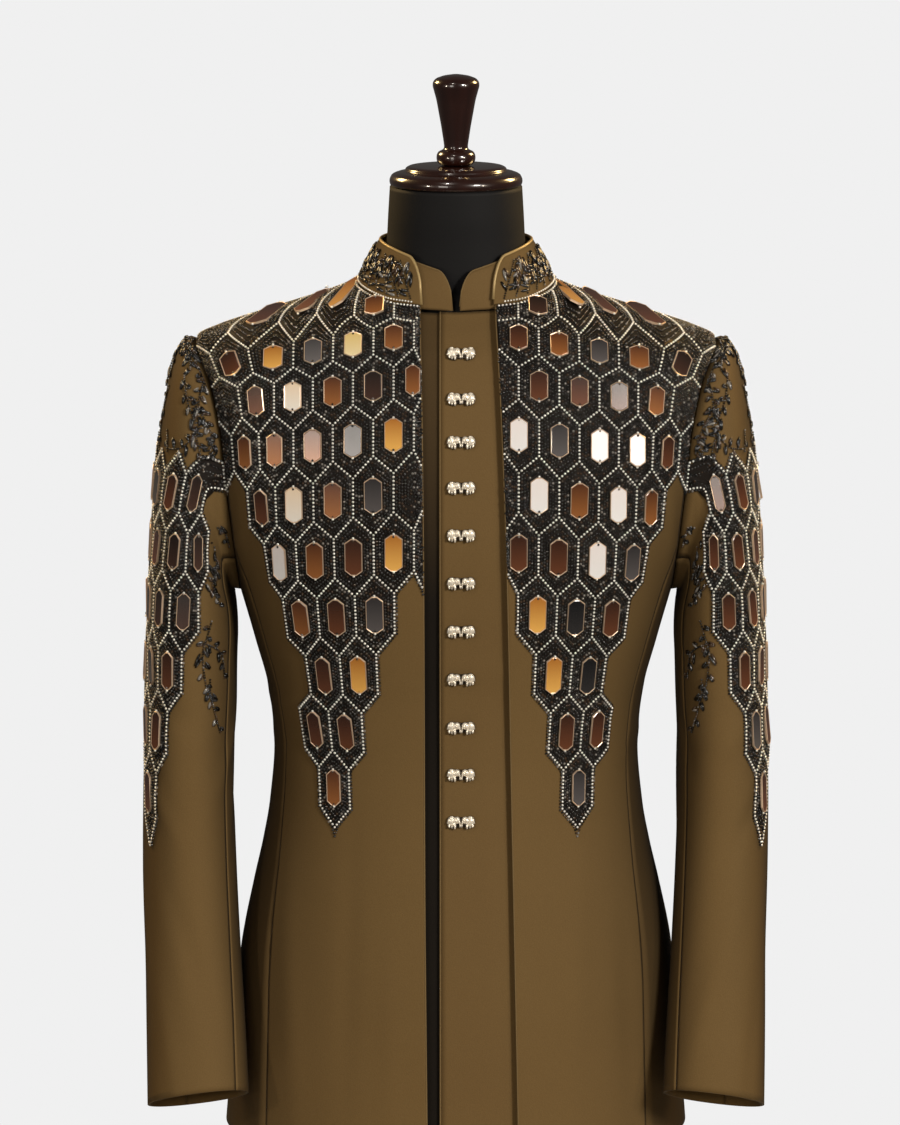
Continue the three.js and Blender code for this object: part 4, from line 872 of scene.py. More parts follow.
def collarGrid(make, columns, rows):
    t = np.linspace(*make["ends"], columns)
    # extra columns near the ends for their rounding
    t = np.unique(np.concatenate([t, make["ends"][0] + np.linspace(0, 0.09, 12) ** 1.0,
                                  make["ends"][1] - np.linspace(0, 0.09, 12)]))
    low, head = collarPoint(make, t, 0)
    sign = np.where(t < 0, -1.0, 1.0)
    flat = low * np.stack([sign, np.ones_like(t), np.ones_like(t)], -1)
    way = np.concatenate([[0], np.cumsum(np.hypot(*np.diff(flat[:, :2], axis=0).T))])
    near = np.minimum(way, way[-1] - way)
    end = np.where(near < make["round"], np.sqrt(np.clip(1 - (1 - near / make["round"]) ** 2, 0, 1)), 1)
    v = np.linspace(1, 0, rows)[:, None] * (0.12 + 0.88 * end)
    p = low + (head - low) * v[..., None]
    size = np.hypot(p[..., 0], p[..., 1])
    bulge = np.sin(math.pi * v) * 1.2
    outer = np.stack([p[..., 0] * (1 + bulge / size) * sign, p[..., 1] * (1 + bulge / size), p[..., 2]], -1)
    return t, way, v, outer


def collarIn(outer, wall):
    size = np.hypot(outer[..., 0], outer[..., 1])
    k = 1 - wall / size
    return np.stack([outer[..., 0] * k, outer[..., 1] * k, outer[..., 2]], -1)


collarGrids = {}
collarFacts = dict(jacket=(["jacket_collar"], (0.405, 0.046), 0.0130, "jacketCloth", "jacket_cloth"),
                   innerR=(["inner_collar_r"], (0.22, 0.046), 0.0069, "innerCloth", "inner_cloth"),
                   innerL=(["inner_collar_l"], (0.22, 0.046), 0.0069, "innerCloth", "inner_cloth"))
for name, make in collarTable.items():
    t, way, v, outer = collarGrid(make, 110 if name == "jacket" else 60, 15)
    collarGrids[name] = (t, way, v, outer)
    nodes, flat, area, cloth, slotName = collarFacts[name]
    uv = np.stack(np.broadcast_arrays(way + 1500, v * 45), -1)
    piece = clothShell("collar_" + name, outer, collarIn(outer, make["wall"]), cloth, uv)
    declare(piece, nodes)
    rim = np.concatenate([outer[:, 0][::-1], outer[0], outer[:, -1]])
    rim = collarIn(rim, make["wall"] / 2)
    keep = np.concatenate([[True], np.linalg.norm(np.diff(rim, axis=0), axis=1) > 0.4])
    cord = tube(rim[keep], 1.35 if name == "jacket" else 0.9, 8)
    finish = "piping" if name == "jacket" else "edgeClothPaintedHighlight"
    trim(putMesh("piping_" + name, cord[0], outwardFaces(*cord), finish))
print("collars ready")


# inner garment
innerMaker = dict(depth=6.5, wall=1.5, corner=0.45, power=0.9, hem=213.0, top=900.0)
lap = dict(over=-13.8, under=24.0, drop=3.0, start=34.0, end=70.0)
creases.update(
    overf=[(60, 640, 60, 9, 0.1, 0.6), (30, 420, 9, 130, 0.02, 0.5), (10, 760, 8, 90, -0.03, -0.35)],
    underf=[(40, 520, 9, 120, -0.02, 0.5), (60, 700, 50, 9, 0.1, 0.5)],
)


def smoothStep(t):
    # t squared times 3 minus 2 t, held between 0 and 1
    c = np.clip(t, 0, 1)
    return c * c * (3 - 2 * c)


def innerPanel(name, start, back, depthFor, flip, columns, facts, part, material="innerCloth"):
    mid, high = innerArm["middle"], innerArm["high"]
    apex = mid + high - 0.02
    corner = float(quarter(body["corner"], back)[0]) - 0.15

    def edge(z):
        if abs(z - mid) <= high and z < apex:
            return armWay(z, back, innerArm) - 0.15
        return float(quarter(z, back)[0]) - 0.15
    t = np.linspace(0, 1, columns + 1)
    k = innerMaker["corner"]
    near = t <= k
    way = np.where(near, start + (corner - start) * t / k, 0)
    neck = (neckBack if back else neckFront)(np.abs(way))
    rise = (np.maximum(t - k, 0) / (1 - k)) ** innerMaker["power"]
    topZ = np.where(near, np.where(np.abs(way) >= corner, body["corner"], neck),
                    body["corner"] + (apex - body["corner"]) * rise)
    topWay = np.where(near, way, quarter(topZ, back) - 0.15)
    s = np.linspace(0, 1, 19)[:-1, None]
    lowWay = start + (edge(innerMaker["top"]) - start) * t
    upWay, upZ = topWay + (lowWay - topWay) * s, topZ + (innerMaker["top"] - topZ) * s
    turn = math.acos((innerMaker["top"] - mid) / high)
    bowZ = mid + high * np.cos(turn * s[:, 0]) - 0.02
    bowWay = np.array([upWay[0, -1]] + [edge(v) for v in bowZ[1:]])
    upZ = upZ + (bowZ - upZ[:, -1])[:, None] * t ** 3
    upWay = upWay + (bowWay - upWay[:, -1])[:, None] * t ** 3
    rows = np.linspace(innerMaker["top"], innerMaker["hem"], 100)
    ends = np.array([edge(v) for v in rows])
    ww = np.concatenate([upWay, start + (ends[:, None] - start) * t])
    zz = np.concatenate([upZ, np.repeat(rows[:, None], len(t), 1)])
    p = ringAt(ww, zz, back)
    n = outward(p)
    lift = creased(ww, zz, part)[..., None]
    outer = p + n * (lift - depthFor(ww)[..., None])
    inner = outer - n * innerMaker["wall"]
    nodes, flat, area = facts
    piece = clothShell(name, outer, inner, material, np.stack([ww + 2200, zz], -1), flip)
    declare(piece, nodes)
    rim = (outer + inner)[:, 0] / 2 + n[:, 0] * 0.35
    cord = tube(rim, 0.8, 8)
    scale = np.array([-1 if flip else 1, 1, 1])
    points = cord[0] * scale
    trim(putMesh(name + "Edge", points, outwardFaces(points, cord[1]), "edgeClothPaintedHighlight"))


def innerDepth(way):
    return np.full(way.shape, innerMaker["depth"])


def underDepth(way):
    return innerMaker["depth"] + lap["drop"] * smoothStep((lap["end"] - way) / (lap["end"] - lap["start"]))


innerPanel("innerOver", lap["over"], False, innerDepth, False, 46,
                       (["inner_front_over"], (0.28, 0.81), 0.182), "overf")
innerPanel("innerUnder", -lap["under"], False, underDepth, True, 46,
           (["inner_front_under"], (0.29, 0.81), 0.189), "underf", "underClothPaintedShade")
for side in "rl":
    innerPanel("innerBack_" + side, 0.15, True, innerDepth, side == "r", 36,
               (["inner_back_" + side], (0.26, 0.82), 0.173), "none")
print("inner garment ready")


# torso form and stand
def closedRings(rings):
    # closed body through level rings of equal count, with a fan at each end
    rows, n = rings.shape[:2]
    ids = np.arange(rows * n).reshape(rows, n)
    nxt = np.roll(ids, -1, 1)
    quads = np.stack([ids[:-1], nxt[:-1], nxt[1:], ids[1:]], -1).reshape(-1, 4)
    points = np.concatenate([rings.reshape(-1, 3), rings[:1].mean(1), rings[-1:].mean(1)])
    caps = np.concatenate([np.stack([nxt[0], ids[0], np.full(n, rows * n)], 1),
                           np.stack([ids[-1], nxt[-1], np.full(n, rows * n + 1)], 1)])
    return points, outwardFaces(points, [quads, caps])


formMaker = dict(depth=14.6, bottom=280.0, around=96, seam=0.8)
# neck of the form: height, half width, front depth, back depth
neckRings = [(956, 76, 45, 44), (970, 64.5, 46, 45), (1000, 60.2, 49, 49), (1022, 59, 52, 52),
             (1047, 57.5, 54, 54)]


def torsoForm():
    z = np.concatenate([np.linspace(formMaker["bottom"], 900, 70), np.linspace(904, 940, 14)])
    turn = np.linspace(0, 2 * math.pi, formMaker["around"], endpoint=False)
    s, c = np.sin(turn), -np.cos(turn)
    zz = np.repeat(z[:, None], len(turn), 1)
    n = roundness(zz)
    deep = np.where(c > 0, backDeep(zz), frontDeep(zz))
    across = halfWide(zz) * np.sign(s) * np.abs(s) ** (2 / n)
    p = np.stack([across, deep * np.sign(c) * np.abs(c) ** (2 / n), zz], -1)
    q = p - outward(p) * formMaker["depth"]
    q[0, :, 2] = formMaker["bottom"]
    heights = np.linspace(neckRings[0][0], neckRings[-1][0], 30)
    a, f, b = (track(neckRings, k)(heights) for k in (1, 2, 3))
    neck = np.stack([a[:, None] * s, np.where(c > 0, b[:, None], f[:, None]) * c,
                     np.repeat(heights[:, None], len(turn), 1)], -1)
    points, faces = closedRings(np.concatenate([q, neck]))
    piece = putMesh("torsoForm", points, faces, "jersey")
    declare(piece, ["form_torso"])


torsoForm()


def rounded(profile, steps=4):
    # lathe profile with each corner cut by a short curve
    p = np.array(profile, float)
    out = [p[0]]
    for i in range(1, len(p) - 1):
        a = p[i] + (p[i - 1] - p[i]) * min(0.4, 2.2 / max(np.linalg.norm(p[i - 1] - p[i]), 1e-6))
        b = p[i] + (p[i + 1] - p[i]) * min(0.4, 2.2 / max(np.linalg.norm(p[i + 1] - p[i]), 1e-6))
        for t in np.linspace(0, 1, steps + 1):
            out.append(a * (1 - t) ** 2 + p[i] * 2 * t * (1 - t) + b * t * t)
    return np.array(out + [p[-1]])


def turned(name, profile, nodes, material, around=72):
    line = rounded(profile)
    turn = np.linspace(0, 2 * math.pi, around, endpoint=False)
    rings = np.stack([line[:, 1:] * np.sin(turn), -line[:, 1:] * np.cos(turn),
                      np.repeat(line[:, :1], around, 1)], -1)
    points, faces = closedRings(rings)
    declare(putMesh(name, points, faces, material), nodes)


# height and radius of each turned piece, from the bottom up
turned("neckCap", [(1047.3, 54), (1048.5, 57), (1051, 57.8), (1054, 57.6), (1057.5, 55.8), (1059.4, 51),
                   (1060.2, 46), (1060.8, 44.4), (1063.2, 43.6), (1064.6, 41), (1065, 38)],
       ["form_cap"], "wood")
turned("finial", [(1065.3, 12), (1066.5, 15), (1069, 16.6), (1072, 17), (1075, 16.6), (1077.4, 15),
                  (1079, 11.2), (1081, 10.2), (1086, 10.8), (1100, 13), (1122, 17), (1130, 19.2),
                  (1134, 20.3), (1137.5, 20), (1140.5, 17.6), (1142.9, 11), (1144.1, 3)],
       ["form_finial"], "wood")
turned("pole", [(24.3, 25), (25, 26), (30, 26), (34, 19), (44, 14), (258, 14), (264, 20), (270, 44),
                (279.4, 46)],
       ["stand_pole"], "blackMetal", 48)
turned("base", [(0, 146), (3, 150), (12, 150), (16, 146), (19, 134), (22, 60), (24, 32)],
       ["stand_base"], "wood", 96)
print("form and stand ready")


# beads
def icosphere():
    # the smallest round bead, 12 corners and 20 sides from the golden share
    g = (1 + 5 ** 0.5) / 2
    p = np.array([(-1, g, 0), (1, g, 0), (-1, -g, 0), (1, -g, 0), (0, -1, g), (0, 1, g),
                  (0, -1, -g), (0, 1, -g), (g, 0, -1), (g, 0, 1), (-g, 0, -1), (-g, 0, 1)], float)
    f = np.array([(0, 11, 5), (0, 5, 1), (0, 1, 7), (0, 7, 10), (0, 10, 11), (1, 5, 9), (5, 11, 4),
                  (11, 10, 2), (10, 7, 6), (7, 1, 8), (3, 9, 4), (3, 4, 2), (3, 2, 6), (3, 6, 8),
                  (3, 8, 9), (4, 9, 5), (2, 4, 11), (6, 2, 10), (8, 6, 7), (9, 8, 1)])
    return p / np.linalg.norm(p[0]), f


beadPoints, beadFaces = icosphere()
beadMaker = dict(pitch=2.8, radius=1.25, silver=1.2, silverPitch=3.2, rows=(0.29, 0.54, 0.79), lift=0.7,
                 fullRows=(0.27, 0.52, 0.78, 1.04, 1.3, 1.56, 1.8), edgeOut=0.12,
                 tip=1.25, tipOut=0.7, tipLift=1.2, holeIn=1.7)
# a mirror's part of its cell: half width in columns, then tip and corner in lines from the cell's end
cellMaker = dict(half=0.44, tip=0.04, corner=0.19, firstCorner=0.12, firstTall=2.0)
groundMaker = dict(high=0.45, low=-0.5, shares=(0, 0.35, 0.7, 1.04), steps=4)
# jet black with a few gunmetal and brown ones among it; the bright ones, and in part the gunmetal ones, are
# painted glints for the beads' sparkle
beadTonesAndGlints = np.array([(0.003, 0.003, 0.003)] * 7 + [(0.035, 0.034, 0.034)] * 2 + [(0.050, 0.028, 0.015)] * 2
                     + [(0.20, 0.185, 0.165)])


def beadMesh(name, centres, axes, lengths, radius, material, flip):
    # one mesh of many beads, each drawn out along its own axis to its own half length
    axes = axes / np.maximum(np.linalg.norm(axes, axis=1, keepdims=True), 1e-9)
    along = beadPoints @ axes.T
    stretch = (np.asarray(lengths) / radius - 1)
    stretch = np.broadcast_to(stretch, len(centres))[:, None, None]
    p = beadPoints[None] + along.T[:, :, None] * axes[:, None] * stretch
    points = (centres[:, None] + p * radius).reshape(-1, 3) * np.array([flip, 1, 1])
    first = len(beadPoints) * np.arange(len(centres))[:, None, None]
    faces = (beadFaces[None] + first).reshape(-1, 3)
    if flip < 0:
        faces = faces[:, ::-1]
    tone = None
    if material == "blackBead":
        picked = luck.integers(len(beadTonesAndGlints), size=len(centres))
        tone = np.repeat(beadTonesAndGlints[picked], len(beadPoints), 0)
    return trim(putMesh(name, points, [faces], material, colour=tone))


def evenAlong(path, pitch):
    # share numbers at which even steps along a path of points fall
    far = np.concatenate([[0], np.cumsum(np.linalg.norm(np.diff(path, axis=0), axis=1))])
    count = max(2, int(round(far[-1] / pitch)) + 1)
    return np.interp(np.linspace(0, far[-1], count), far, np.linspace(0, 1, len(path)))


def cellCorners(a, column, first, near=None):
    # corners of a honeycomb cell in lines and columns, and those of its mirror, which near narrows
    # on its side to the front edge
    m = cellMaker
    left, right = near or m["half"], m["half"]
    if first:
        outline = [(0, column - 1), (0, column), (0, column + 1), (2, column + 1), (3, column),
                   (2, column - 1)]
        tall = m["firstTall"]
        a = 0.0
        corner = m["firstCorner"]
    else:
        tall = 1.0
        outline = [(a, column - 1), (a - 1, column), (a, column + 1), (a + 1, column + 1), (a + 2, column),
                   (a + 1, column - 1)]
        corner = m["corner"]
    low, tip = a + (1 - m["corner"]) * tall, a + (1 - m["tip"]) * tall
    mirror = [(a + corner, column - left), (a + m["tip"], column), (a + corner, column + right),
              (low, column + right), (tip, column), (low, column - left)]
    return np.array(outline, float), np.array(mirror, float)


def honeycomb(cells, surface, limits):
    # bead paths of a patch of cells: outlines once each, then rows between outline and mirror
    silver, black, seen = [], [], {}
    for first, a, column, hasMirror, near in cells:
        outline, mirror = cellCorners(a, column, first, near)
        for i in range(6):
            p, q = outline[i], outline[(i + 1) % 6]
            key = tuple(sorted([tuple(np.round(p, 3)), tuple(np.round(q, 3))]))
            seen.setdefault(key, []).append((p, q, mirror.mean(0)))
        rows = beadMaker["rows"] if hasMirror else beadMaker["fullRows"]
        for t in rows:
            ring = outline + (mirror - outline) * t
            if not hasMirror and t > 1:
                ring = mirror.mean(0) + (mirror - mirror.mean(0)) * (2 - t)
            black.append(np.concatenate([ring, ring[:1]]))
    for entries in seen.values():
        p, q, middle = entries[0]
        silver.append(np.array([p, q]))
        if len(entries) == 1:
            out = beadMaker["edgeOut"]
            black.append(np.array([p + (p - middle) * out, q + (q - middle) * out]))

    def place(paths, pitch):
        out = []
        for path in paths:
            part = np.linalg.norm(np.diff(path, axis=0), axis=1)
            at = np.concatenate([[0], np.cumsum(part)]) / part.sum()
            t = np.linspace(0, 1, 90)
            rc = np.stack([np.interp(t, at, path[:, 0]), np.interp(t, at, path[:, 1])], -1)
            share = evenAlong(surface(rc[:, 0], rc[:, 1], 0.0), pitch)[:-1]
            out.append(np.stack([np.interp(share, t, rc[:, 0]), np.interp(share, t, rc[:, 1])], -1))
        rc = np.concatenate(out)
        r0, r1, c0, c1 = limits
        keep = (rc[:, 0] >= r0) & (rc[:, 0] <= r1) & (rc[:, 1] >= c0) & (rc[:, 1] <= c1)
        return rc[keep]
    return place(silver, beadMaker["silverPitch"]), place(black, beadMaker["pitch"])


def groundPatch(name, cells, surface, limits, flip):
    # dark stitched ground under each cell: a polar grid over its outline, closed underneath
    points, faces, start = [], [], 0
    shares, steps = np.array(groundMaker["shares"]), groundMaker["steps"]
    for first, a, column, hasMirror, near in cells:
        outline, mirror = cellCorners(a, column, first, near)
        middle = (outline.max(0) + outline.min(0)) / 2
        following = np.roll(outline, -1, 0)
        ring = np.concatenate([outline + (following - outline) * t / steps for t in range(steps)])
        ring = ring.reshape(steps, len(outline), 2).transpose(1, 0, 2).reshape(-1, 2)
        grid = middle + (ring - middle) * shares[1:, None, None]
        r0, r1, c0, c1 = limits
        rr, cc = np.clip(grid[..., 0], r0, r1), np.clip(grid[..., 1], c0, c1)
        mid = (np.clip(middle[:1], r0, r1), np.clip(middle[1:], c0, c1))
        up, down = groundMaker["high"], groundMaker["low"]
        high, low = surface(rr, cc, up), surface(rr, cc, down)
        n = len(ring)
        block = np.concatenate([surface(*mid, up), high.reshape(-1, 3), surface(*mid, down), low[-1]])
        ids = 1 + np.arange(3 * n).reshape(3, n)
        nxt = np.roll(ids, -1, 1)
        under = 2 + 3 * n + np.arange(n)
        underNext = np.roll(under, -1)
        quads = np.concatenate([np.stack([ids[:-1], nxt[:-1], nxt[1:], ids[1:]], -1).reshape(-1, 4),
                                np.stack([ids[-1], nxt[-1], underNext, under], -1)])
        fans = np.concatenate([np.stack([np.zeros(n, int), nxt[0], ids[0]], -1),
                               np.stack([np.full(n, 1 + 3 * n), under, underNext], -1)])
        shape = outwardFaces(block, [quads, fans])
        points.append(block)
        faces.append([f + start for f in shape])
        start += len(block)
    points = np.concatenate(points) * np.array([flip, 1, 1])
    quads = np.concatenate([f[0] for f in faces])
    fans = np.concatenate([f[1] for f in faces])
    if flip < 0:
        quads, fans = quads[:, ::-1], fans[:, ::-1]
    return trim(putMesh(name, points, [quads, fans], "ground"))


# the mirrors' own bronze tint with painted reflection: each pair is a plate's colour at its top and bottom,
# for what it reflects of the room, and white and cream stand for lamps seen in it
mirrorTintsAndReflections = dict(
    amber=((0.50, 0.19, 0.03), (0.95, 0.52, 0.12)), gold=((0.90, 0.66, 0.24), (1.0, 0.85, 0.50)),
    cream=((1.0, 0.80, 0.58), (1.0, 0.95, 0.86)), white=((1.0, 0.93, 0.91), (1.0, 1.0, 1.0)),
    orange=((0.10, 0.032, 0.011), (0.34, 0.125, 0.033)), brown=((0.040, 0.014, 0.007), (0.15, 0.050, 0.020)),
    dark=((0.014, 0.008, 0.006), (0.060, 0.026, 0.016)), grey=((0.035, 0.032, 0.033), (0.11, 0.10, 0.10)),
    black=((0.007, 0.007, 0.008), (0.03, 0.028, 0.028)),
)
# painted reflection: which tint and reflection each of these mirrors shows; the rest are drawn at random
reflectionPicks = dict(
    r={(0, 4): "amber", (0, 2): "orange", (0, 6): "orange", (1, 3): "gold", (1, 7): "amber", (1, 5): "grey",
       (2, 6): "cream", (2, 0): "orange", (2, 8): "brown", (3, 1): "amber", (3, 5): "orange", (4, 6): "cream",
       (4, 4): "orange", (5, 1): "amber", (5, 5): "orange", (5, 7): "white", (6, 6): "orange", (6, 2): "grey",
       (7, 3): "amber", (7, 5): "brown"},
    l={(0, 4): "amber", (0, 8): "brown", (1, 1): "brown", (1, 3): "orange", (1, 5): "grey", (1, 7): "orange",
       (3, 1): "white", (3, 5): "white", (3, 7): "white", (4, 2): "white", (4, 6): "white", (5, 5): "white",
       (6, 2): "amber", (7, 3): "amber", (4, 4): "orange", (6, 4): "black", (7, 5): "black"},
)
mirrorMaker = dict(lift=1.5, rim=0.6, blunt=0.30, chamfer=0.76, hole=1.15, holeDeep=0.35, wobble=0.035)


def mirrorSet(name, centres, normals, ups, halves, plateTintsAndReflections, flip):
    # each mirror is a long hexagon with blunt tips in its own plane: gold rim, then the plate inside it
    rights = np.cross(ups, normals)
    rights /= np.linalg.norm(rights, axis=1, keepdims=True)
    ups = np.cross(normals, rights)
    b = mirrorMaker["blunt"]
    f = mirrorMaker["chamfer"]
    shape = np.array([(-b, 1), (b, 1), (1, f), (1, -f), (b, -1), (-b, -1), (-1, -f), (-1, f)])
    flips = np.array([flip, 1, 1])
    n = len(shape)

    def layer(shrink, lift):
        wide, tall = halves[:, 0] - shrink, halves[:, 1] - shrink * 1.25
        return (centres[:, None] + rights[:, None] * (shape[:, 0] * wide[:, None])[..., None]
                + ups[:, None] * (shape[:, 1] * tall[:, None])[..., None] + normals[:, None] * lift)

    def build(layers, closedTop):
        stack = np.stack(layers, 1)
        count = len(layers) * n
        points = stack.reshape(len(centres), count, 3)
        ids = np.arange(count).reshape(len(layers), n)
        nxt = np.roll(ids, -1, 1)
        quads = np.stack([ids[:-1], nxt[:-1], nxt[1:], ids[1:]], -1).reshape(-1, 4)
        ends = [ids[0][::-1], ids[-1]]
        if not closedTop:
            quads = np.concatenate([quads, np.stack([ids[-1], nxt[-1], nxt[0], ids[0]], -1)])
            ends = []
        offset = count * np.arange(len(centres))
        allQuads = (quads[None] + offset[:, None, None]).reshape(-1, 4)
        caps = [(e[None] + offset[:, None]) for e in ends]
        tri = np.concatenate([allQuads[:, :3], allQuads[:, [0, 2, 3]]] + [c[:, [0, i, i + 1]] for c in caps
                                                                        for i in range(1, n - 1)])
        q = points.reshape(-1, 3) * flips
        volume = np.einsum("ij,ij->i", q[tri[:, 0]], np.cross(q[tri[:, 1]], q[tri[:, 2]])).sum()
        faces = [allQuads] + caps
        return q, [f[:, ::-1] for f in faces] if volume < 0 else faces
    m = mirrorMaker
    plate, plateFaces = build([layer(m["rim"] * 0.6, 0.2), layer(m["rim"] * 0.6, m["lift"]),
                               layer(m["rim"] * 1.5, m["lift"] + 0.35)], True)
    tone = np.repeat(plateTintsAndReflections[:, None], 3 * n, 1)
    # painted reflection: each plate's colour fades from the first, darker tone at its top to the second,
    # lighter one at its bottom
    up = np.tile(shape[:, 1], 3)[None, :, None] * 0.5 + 0.5
    tone = tone[:, :, 0] * up + tone[:, :, 1] * (1 - up)
    trim(putMesh(name, plate, plateFaces, "mirror", smooth=False, colour=tone.reshape(-1, 3)))
    rim, rimFaces = build([layer(0, 0.1), layer(0, m["lift"] + 0.25),
                           layer(m["rim"] * 0.45, m["lift"] + 0.55), layer(m["rim"], m["lift"] + 0.3),
                           layer(m["rim"] * 0.9, 0.1)], False)
    trim(putMesh(name + "Rim", rim, rimFaces, "goldRim", smooth=False))


def mirrorPlaces(cells, surface, wobble):
    centres, normals, ups, halves = [], [], [], []
    for first, a, column, near in cells:
        outline, mirror = cellCorners(a, column, first, near)
        q = surface(mirror[:, 0], mirror[:, 1], 0.9)
        top, low = q[1], q[4]
        left, right = (q[0] + q[5]) / 2, (q[2] + q[3]) / 2
        up = (top - low) / np.linalg.norm(top - low)
        n = np.cross(right - left, up)
        n /= np.linalg.norm(n)
        base = surface(mirror[:, 0], mirror[:, 1], 0.0).mean(0)
        if ((q.mean(0) - base) * n).sum() < 0:
            n = -n
        n = n + luck.normal(0, wobble, 3)
        centres.append(q.mean(0))
        normals.append(n / np.linalg.norm(n))
        ups.append(up)
        halves.append((np.linalg.norm(right - left) / 2, np.linalg.norm(top - low) / 2))
    return np.array(centres), np.array(normals), np.array(ups), np.array(halves)


def tintAndReflectionFor(side, k, i, pool):
    name = reflectionPicks.get(side, {}).get((k, i)) or pool[int(luck.integers(len(pool)))]
    return mirrorTintsAndReflections[name]


def surfaceNormal(surface, r, c):
    return surface(r, c, 1.0) - surface(r, c, 0.0)


def beadwork(name, side, cells, surface, limits, tones):
    flip = signs[side]
    silver, black = honeycomb(cells, surface, limits)
    groundPatch("ground" + name, cells, surface, limits, flip)
    for label, rc, radius, material in (("silver", silver, beadMaker["silver"], "silverBead"),
                                        ("black", black, beadMaker["radius"], "blackBead")):
        lift = beadMaker["lift"] + (0.25 if label == "silver" else 0)
        centres = surface(rc[:, 0], rc[:, 1], lift)
        axes = surfaceNormal(surface, rc[:, 0], rc[:, 1])
        beadMesh(label + name, centres, axes, radius * 0.85, radius, material, flip)
    held = [(f, a, c, near) for f, a, c, m, near in cells if m]
    centres, normals, ups, halves = mirrorPlaces(held, surface, mirrorMaker["wobble"])
    mirrorSet("mirrors" + name, centres, normals, ups, halves, np.array(tones), flip)
    both = np.tile(normals, (2, 1))
    reach = np.concatenate([ups * halves[:, 1:], -ups * halves[:, 1:]])
    middle = np.tile(centres, (2, 1))
    long = np.linalg.norm(reach, axis=1, keepdims=True)
    # a silver bead just past both tips of each mirror, and a dark sewing hole just inside them
    m = beadMaker
    tips = middle + reach * (1 + m["tipOut"] / long) + both * m["tipLift"]
    beadMesh("tips" + name, tips, both, m["tipLift"], m["tip"], "silverBead", flip)
    holes = middle + reach * (1 - m["holeIn"] / long) + both * (mirrorMaker["lift"] + 0.25)
    beadMesh("holes" + name, holes, both, mirrorMaker["holeDeep"], mirrorMaker["hole"], "blackBead",
             flip)


# tint with painted reflection for the mirrors not listed
darkPool = ["brown", "brown", "dark", "brown", "brown", "orange", "grey", "dark"]


def nearShare(side, line, column):
    # how far towards a close front edge a mirror reaches, in columns, to stay as wide as on its other side
    ends = latticePoint(side, np.full(3, line), np.array([column - 1.0, column, column + 1.0]))
    left, right = np.linalg.norm(ends[1] - ends[0]), np.linalg.norm(ends[2] - ends[1])
    return min(0.75, 0.44 * right / left)


for side in "rl":
    cells, tones = [], []
    shift = leftOut[side]
    for k, (z, fall, half, held, every) in enumerate(honeycombRows):
        for i in every:
            column = i + 1 - shift
            if column < 0:
                continue
            line = 1.0 + 2 * k
            holds = i in held and i >= shift
            near = nearShare(side, line, column) if column == 1 else None
            cells.append((k == 0, line, column, holds, near))
            if holds:
                tones.append(tintAndReflectionFor(side, k, i, darkPool))
    last = lattices[side][0].shape[1] - 1
    beadwork("Front_" + side, side, cells, lambda r, c, lift, s=side: latticePoint(s, r, c, lift),
             (0.0, 21.6, 0.07, last - 0.07), tones)

# sleeve honeycomb: level rows that narrow to a tip, on a lattice of its own
sleeveComb = dict(rows=[788, 737, 685, 631, 577, 520], straight=0.33, tip=474.0, column=3.2, half=0.8)


def levelLines():
    # for each column of the sleeve, the line at which every height is reached
    heights = np.arange(230.0, 960.0, 2.0)
    lines = np.linspace(0, 21, 421)
    table = []
    for c in sleeveColumns:
        z = sleeveBase(lines, np.full(len(lines), c))[:, 2]
        table.append(np.interp(-heights, -z, lines))
    return heights, np.array(table)


levelHeights, levelTable = levelLines()


def combLines():
    z, s = sleeveComb["rows"], sleeveComb["straight"]
    gap = [z[i] - z[i + 1] for i in range(len(z) - 1)] + [z[-2] - z[-1]]
    lines = [z[0] + gap[0] * (1 - s)]
    for i, middle in enumerate(z):
        lines += [middle + gap[max(i - 1, 0)] * s, middle - gap[i] * s]
    return np.array(lines + [sleeveComb["tip"]])


combHeights = combLines()


def combPoint(side, r, c, lift=0.0):
    # point over the sleeve at a line and column of its honeycomb
    r, c = np.broadcast_arrays(np.asarray(r, float), np.asarray(c, float))
    z = np.interp(r, np.arange(len(combHeights)), combHeights)
    column = sleeveComb["column"] + sleeveComb["half"] * c
    at = (column - sleeveMaker["back"]) / sleeveMaker["columnStep"]
    line = between(levelTable, at, (z - levelHeights[0]) / (levelHeights[1] - levelHeights[0]))
    return sleevePoint(side, line, column, lift)


for side in "rl":
    cells, tones = [], []
    for k in range(len(sleeveComb["rows"])):
        reach = len(sleeveComb["rows"]) - 1 - k
        for i in range(-reach, reach + 1 if k else reach, 2):
            cells.append((False, 1.0 + 2 * k, i, True, None))
            tones.append(tintAndReflectionFor("none", k, i, darkPool))
    beadwork("Sleeve_" + side, side, cells, lambda r, c, lift, s=side: combPoint(s, r, c, lift),
             (0.0, 13.0, -8.9, 7.0), tones)
print("beadwork ready")


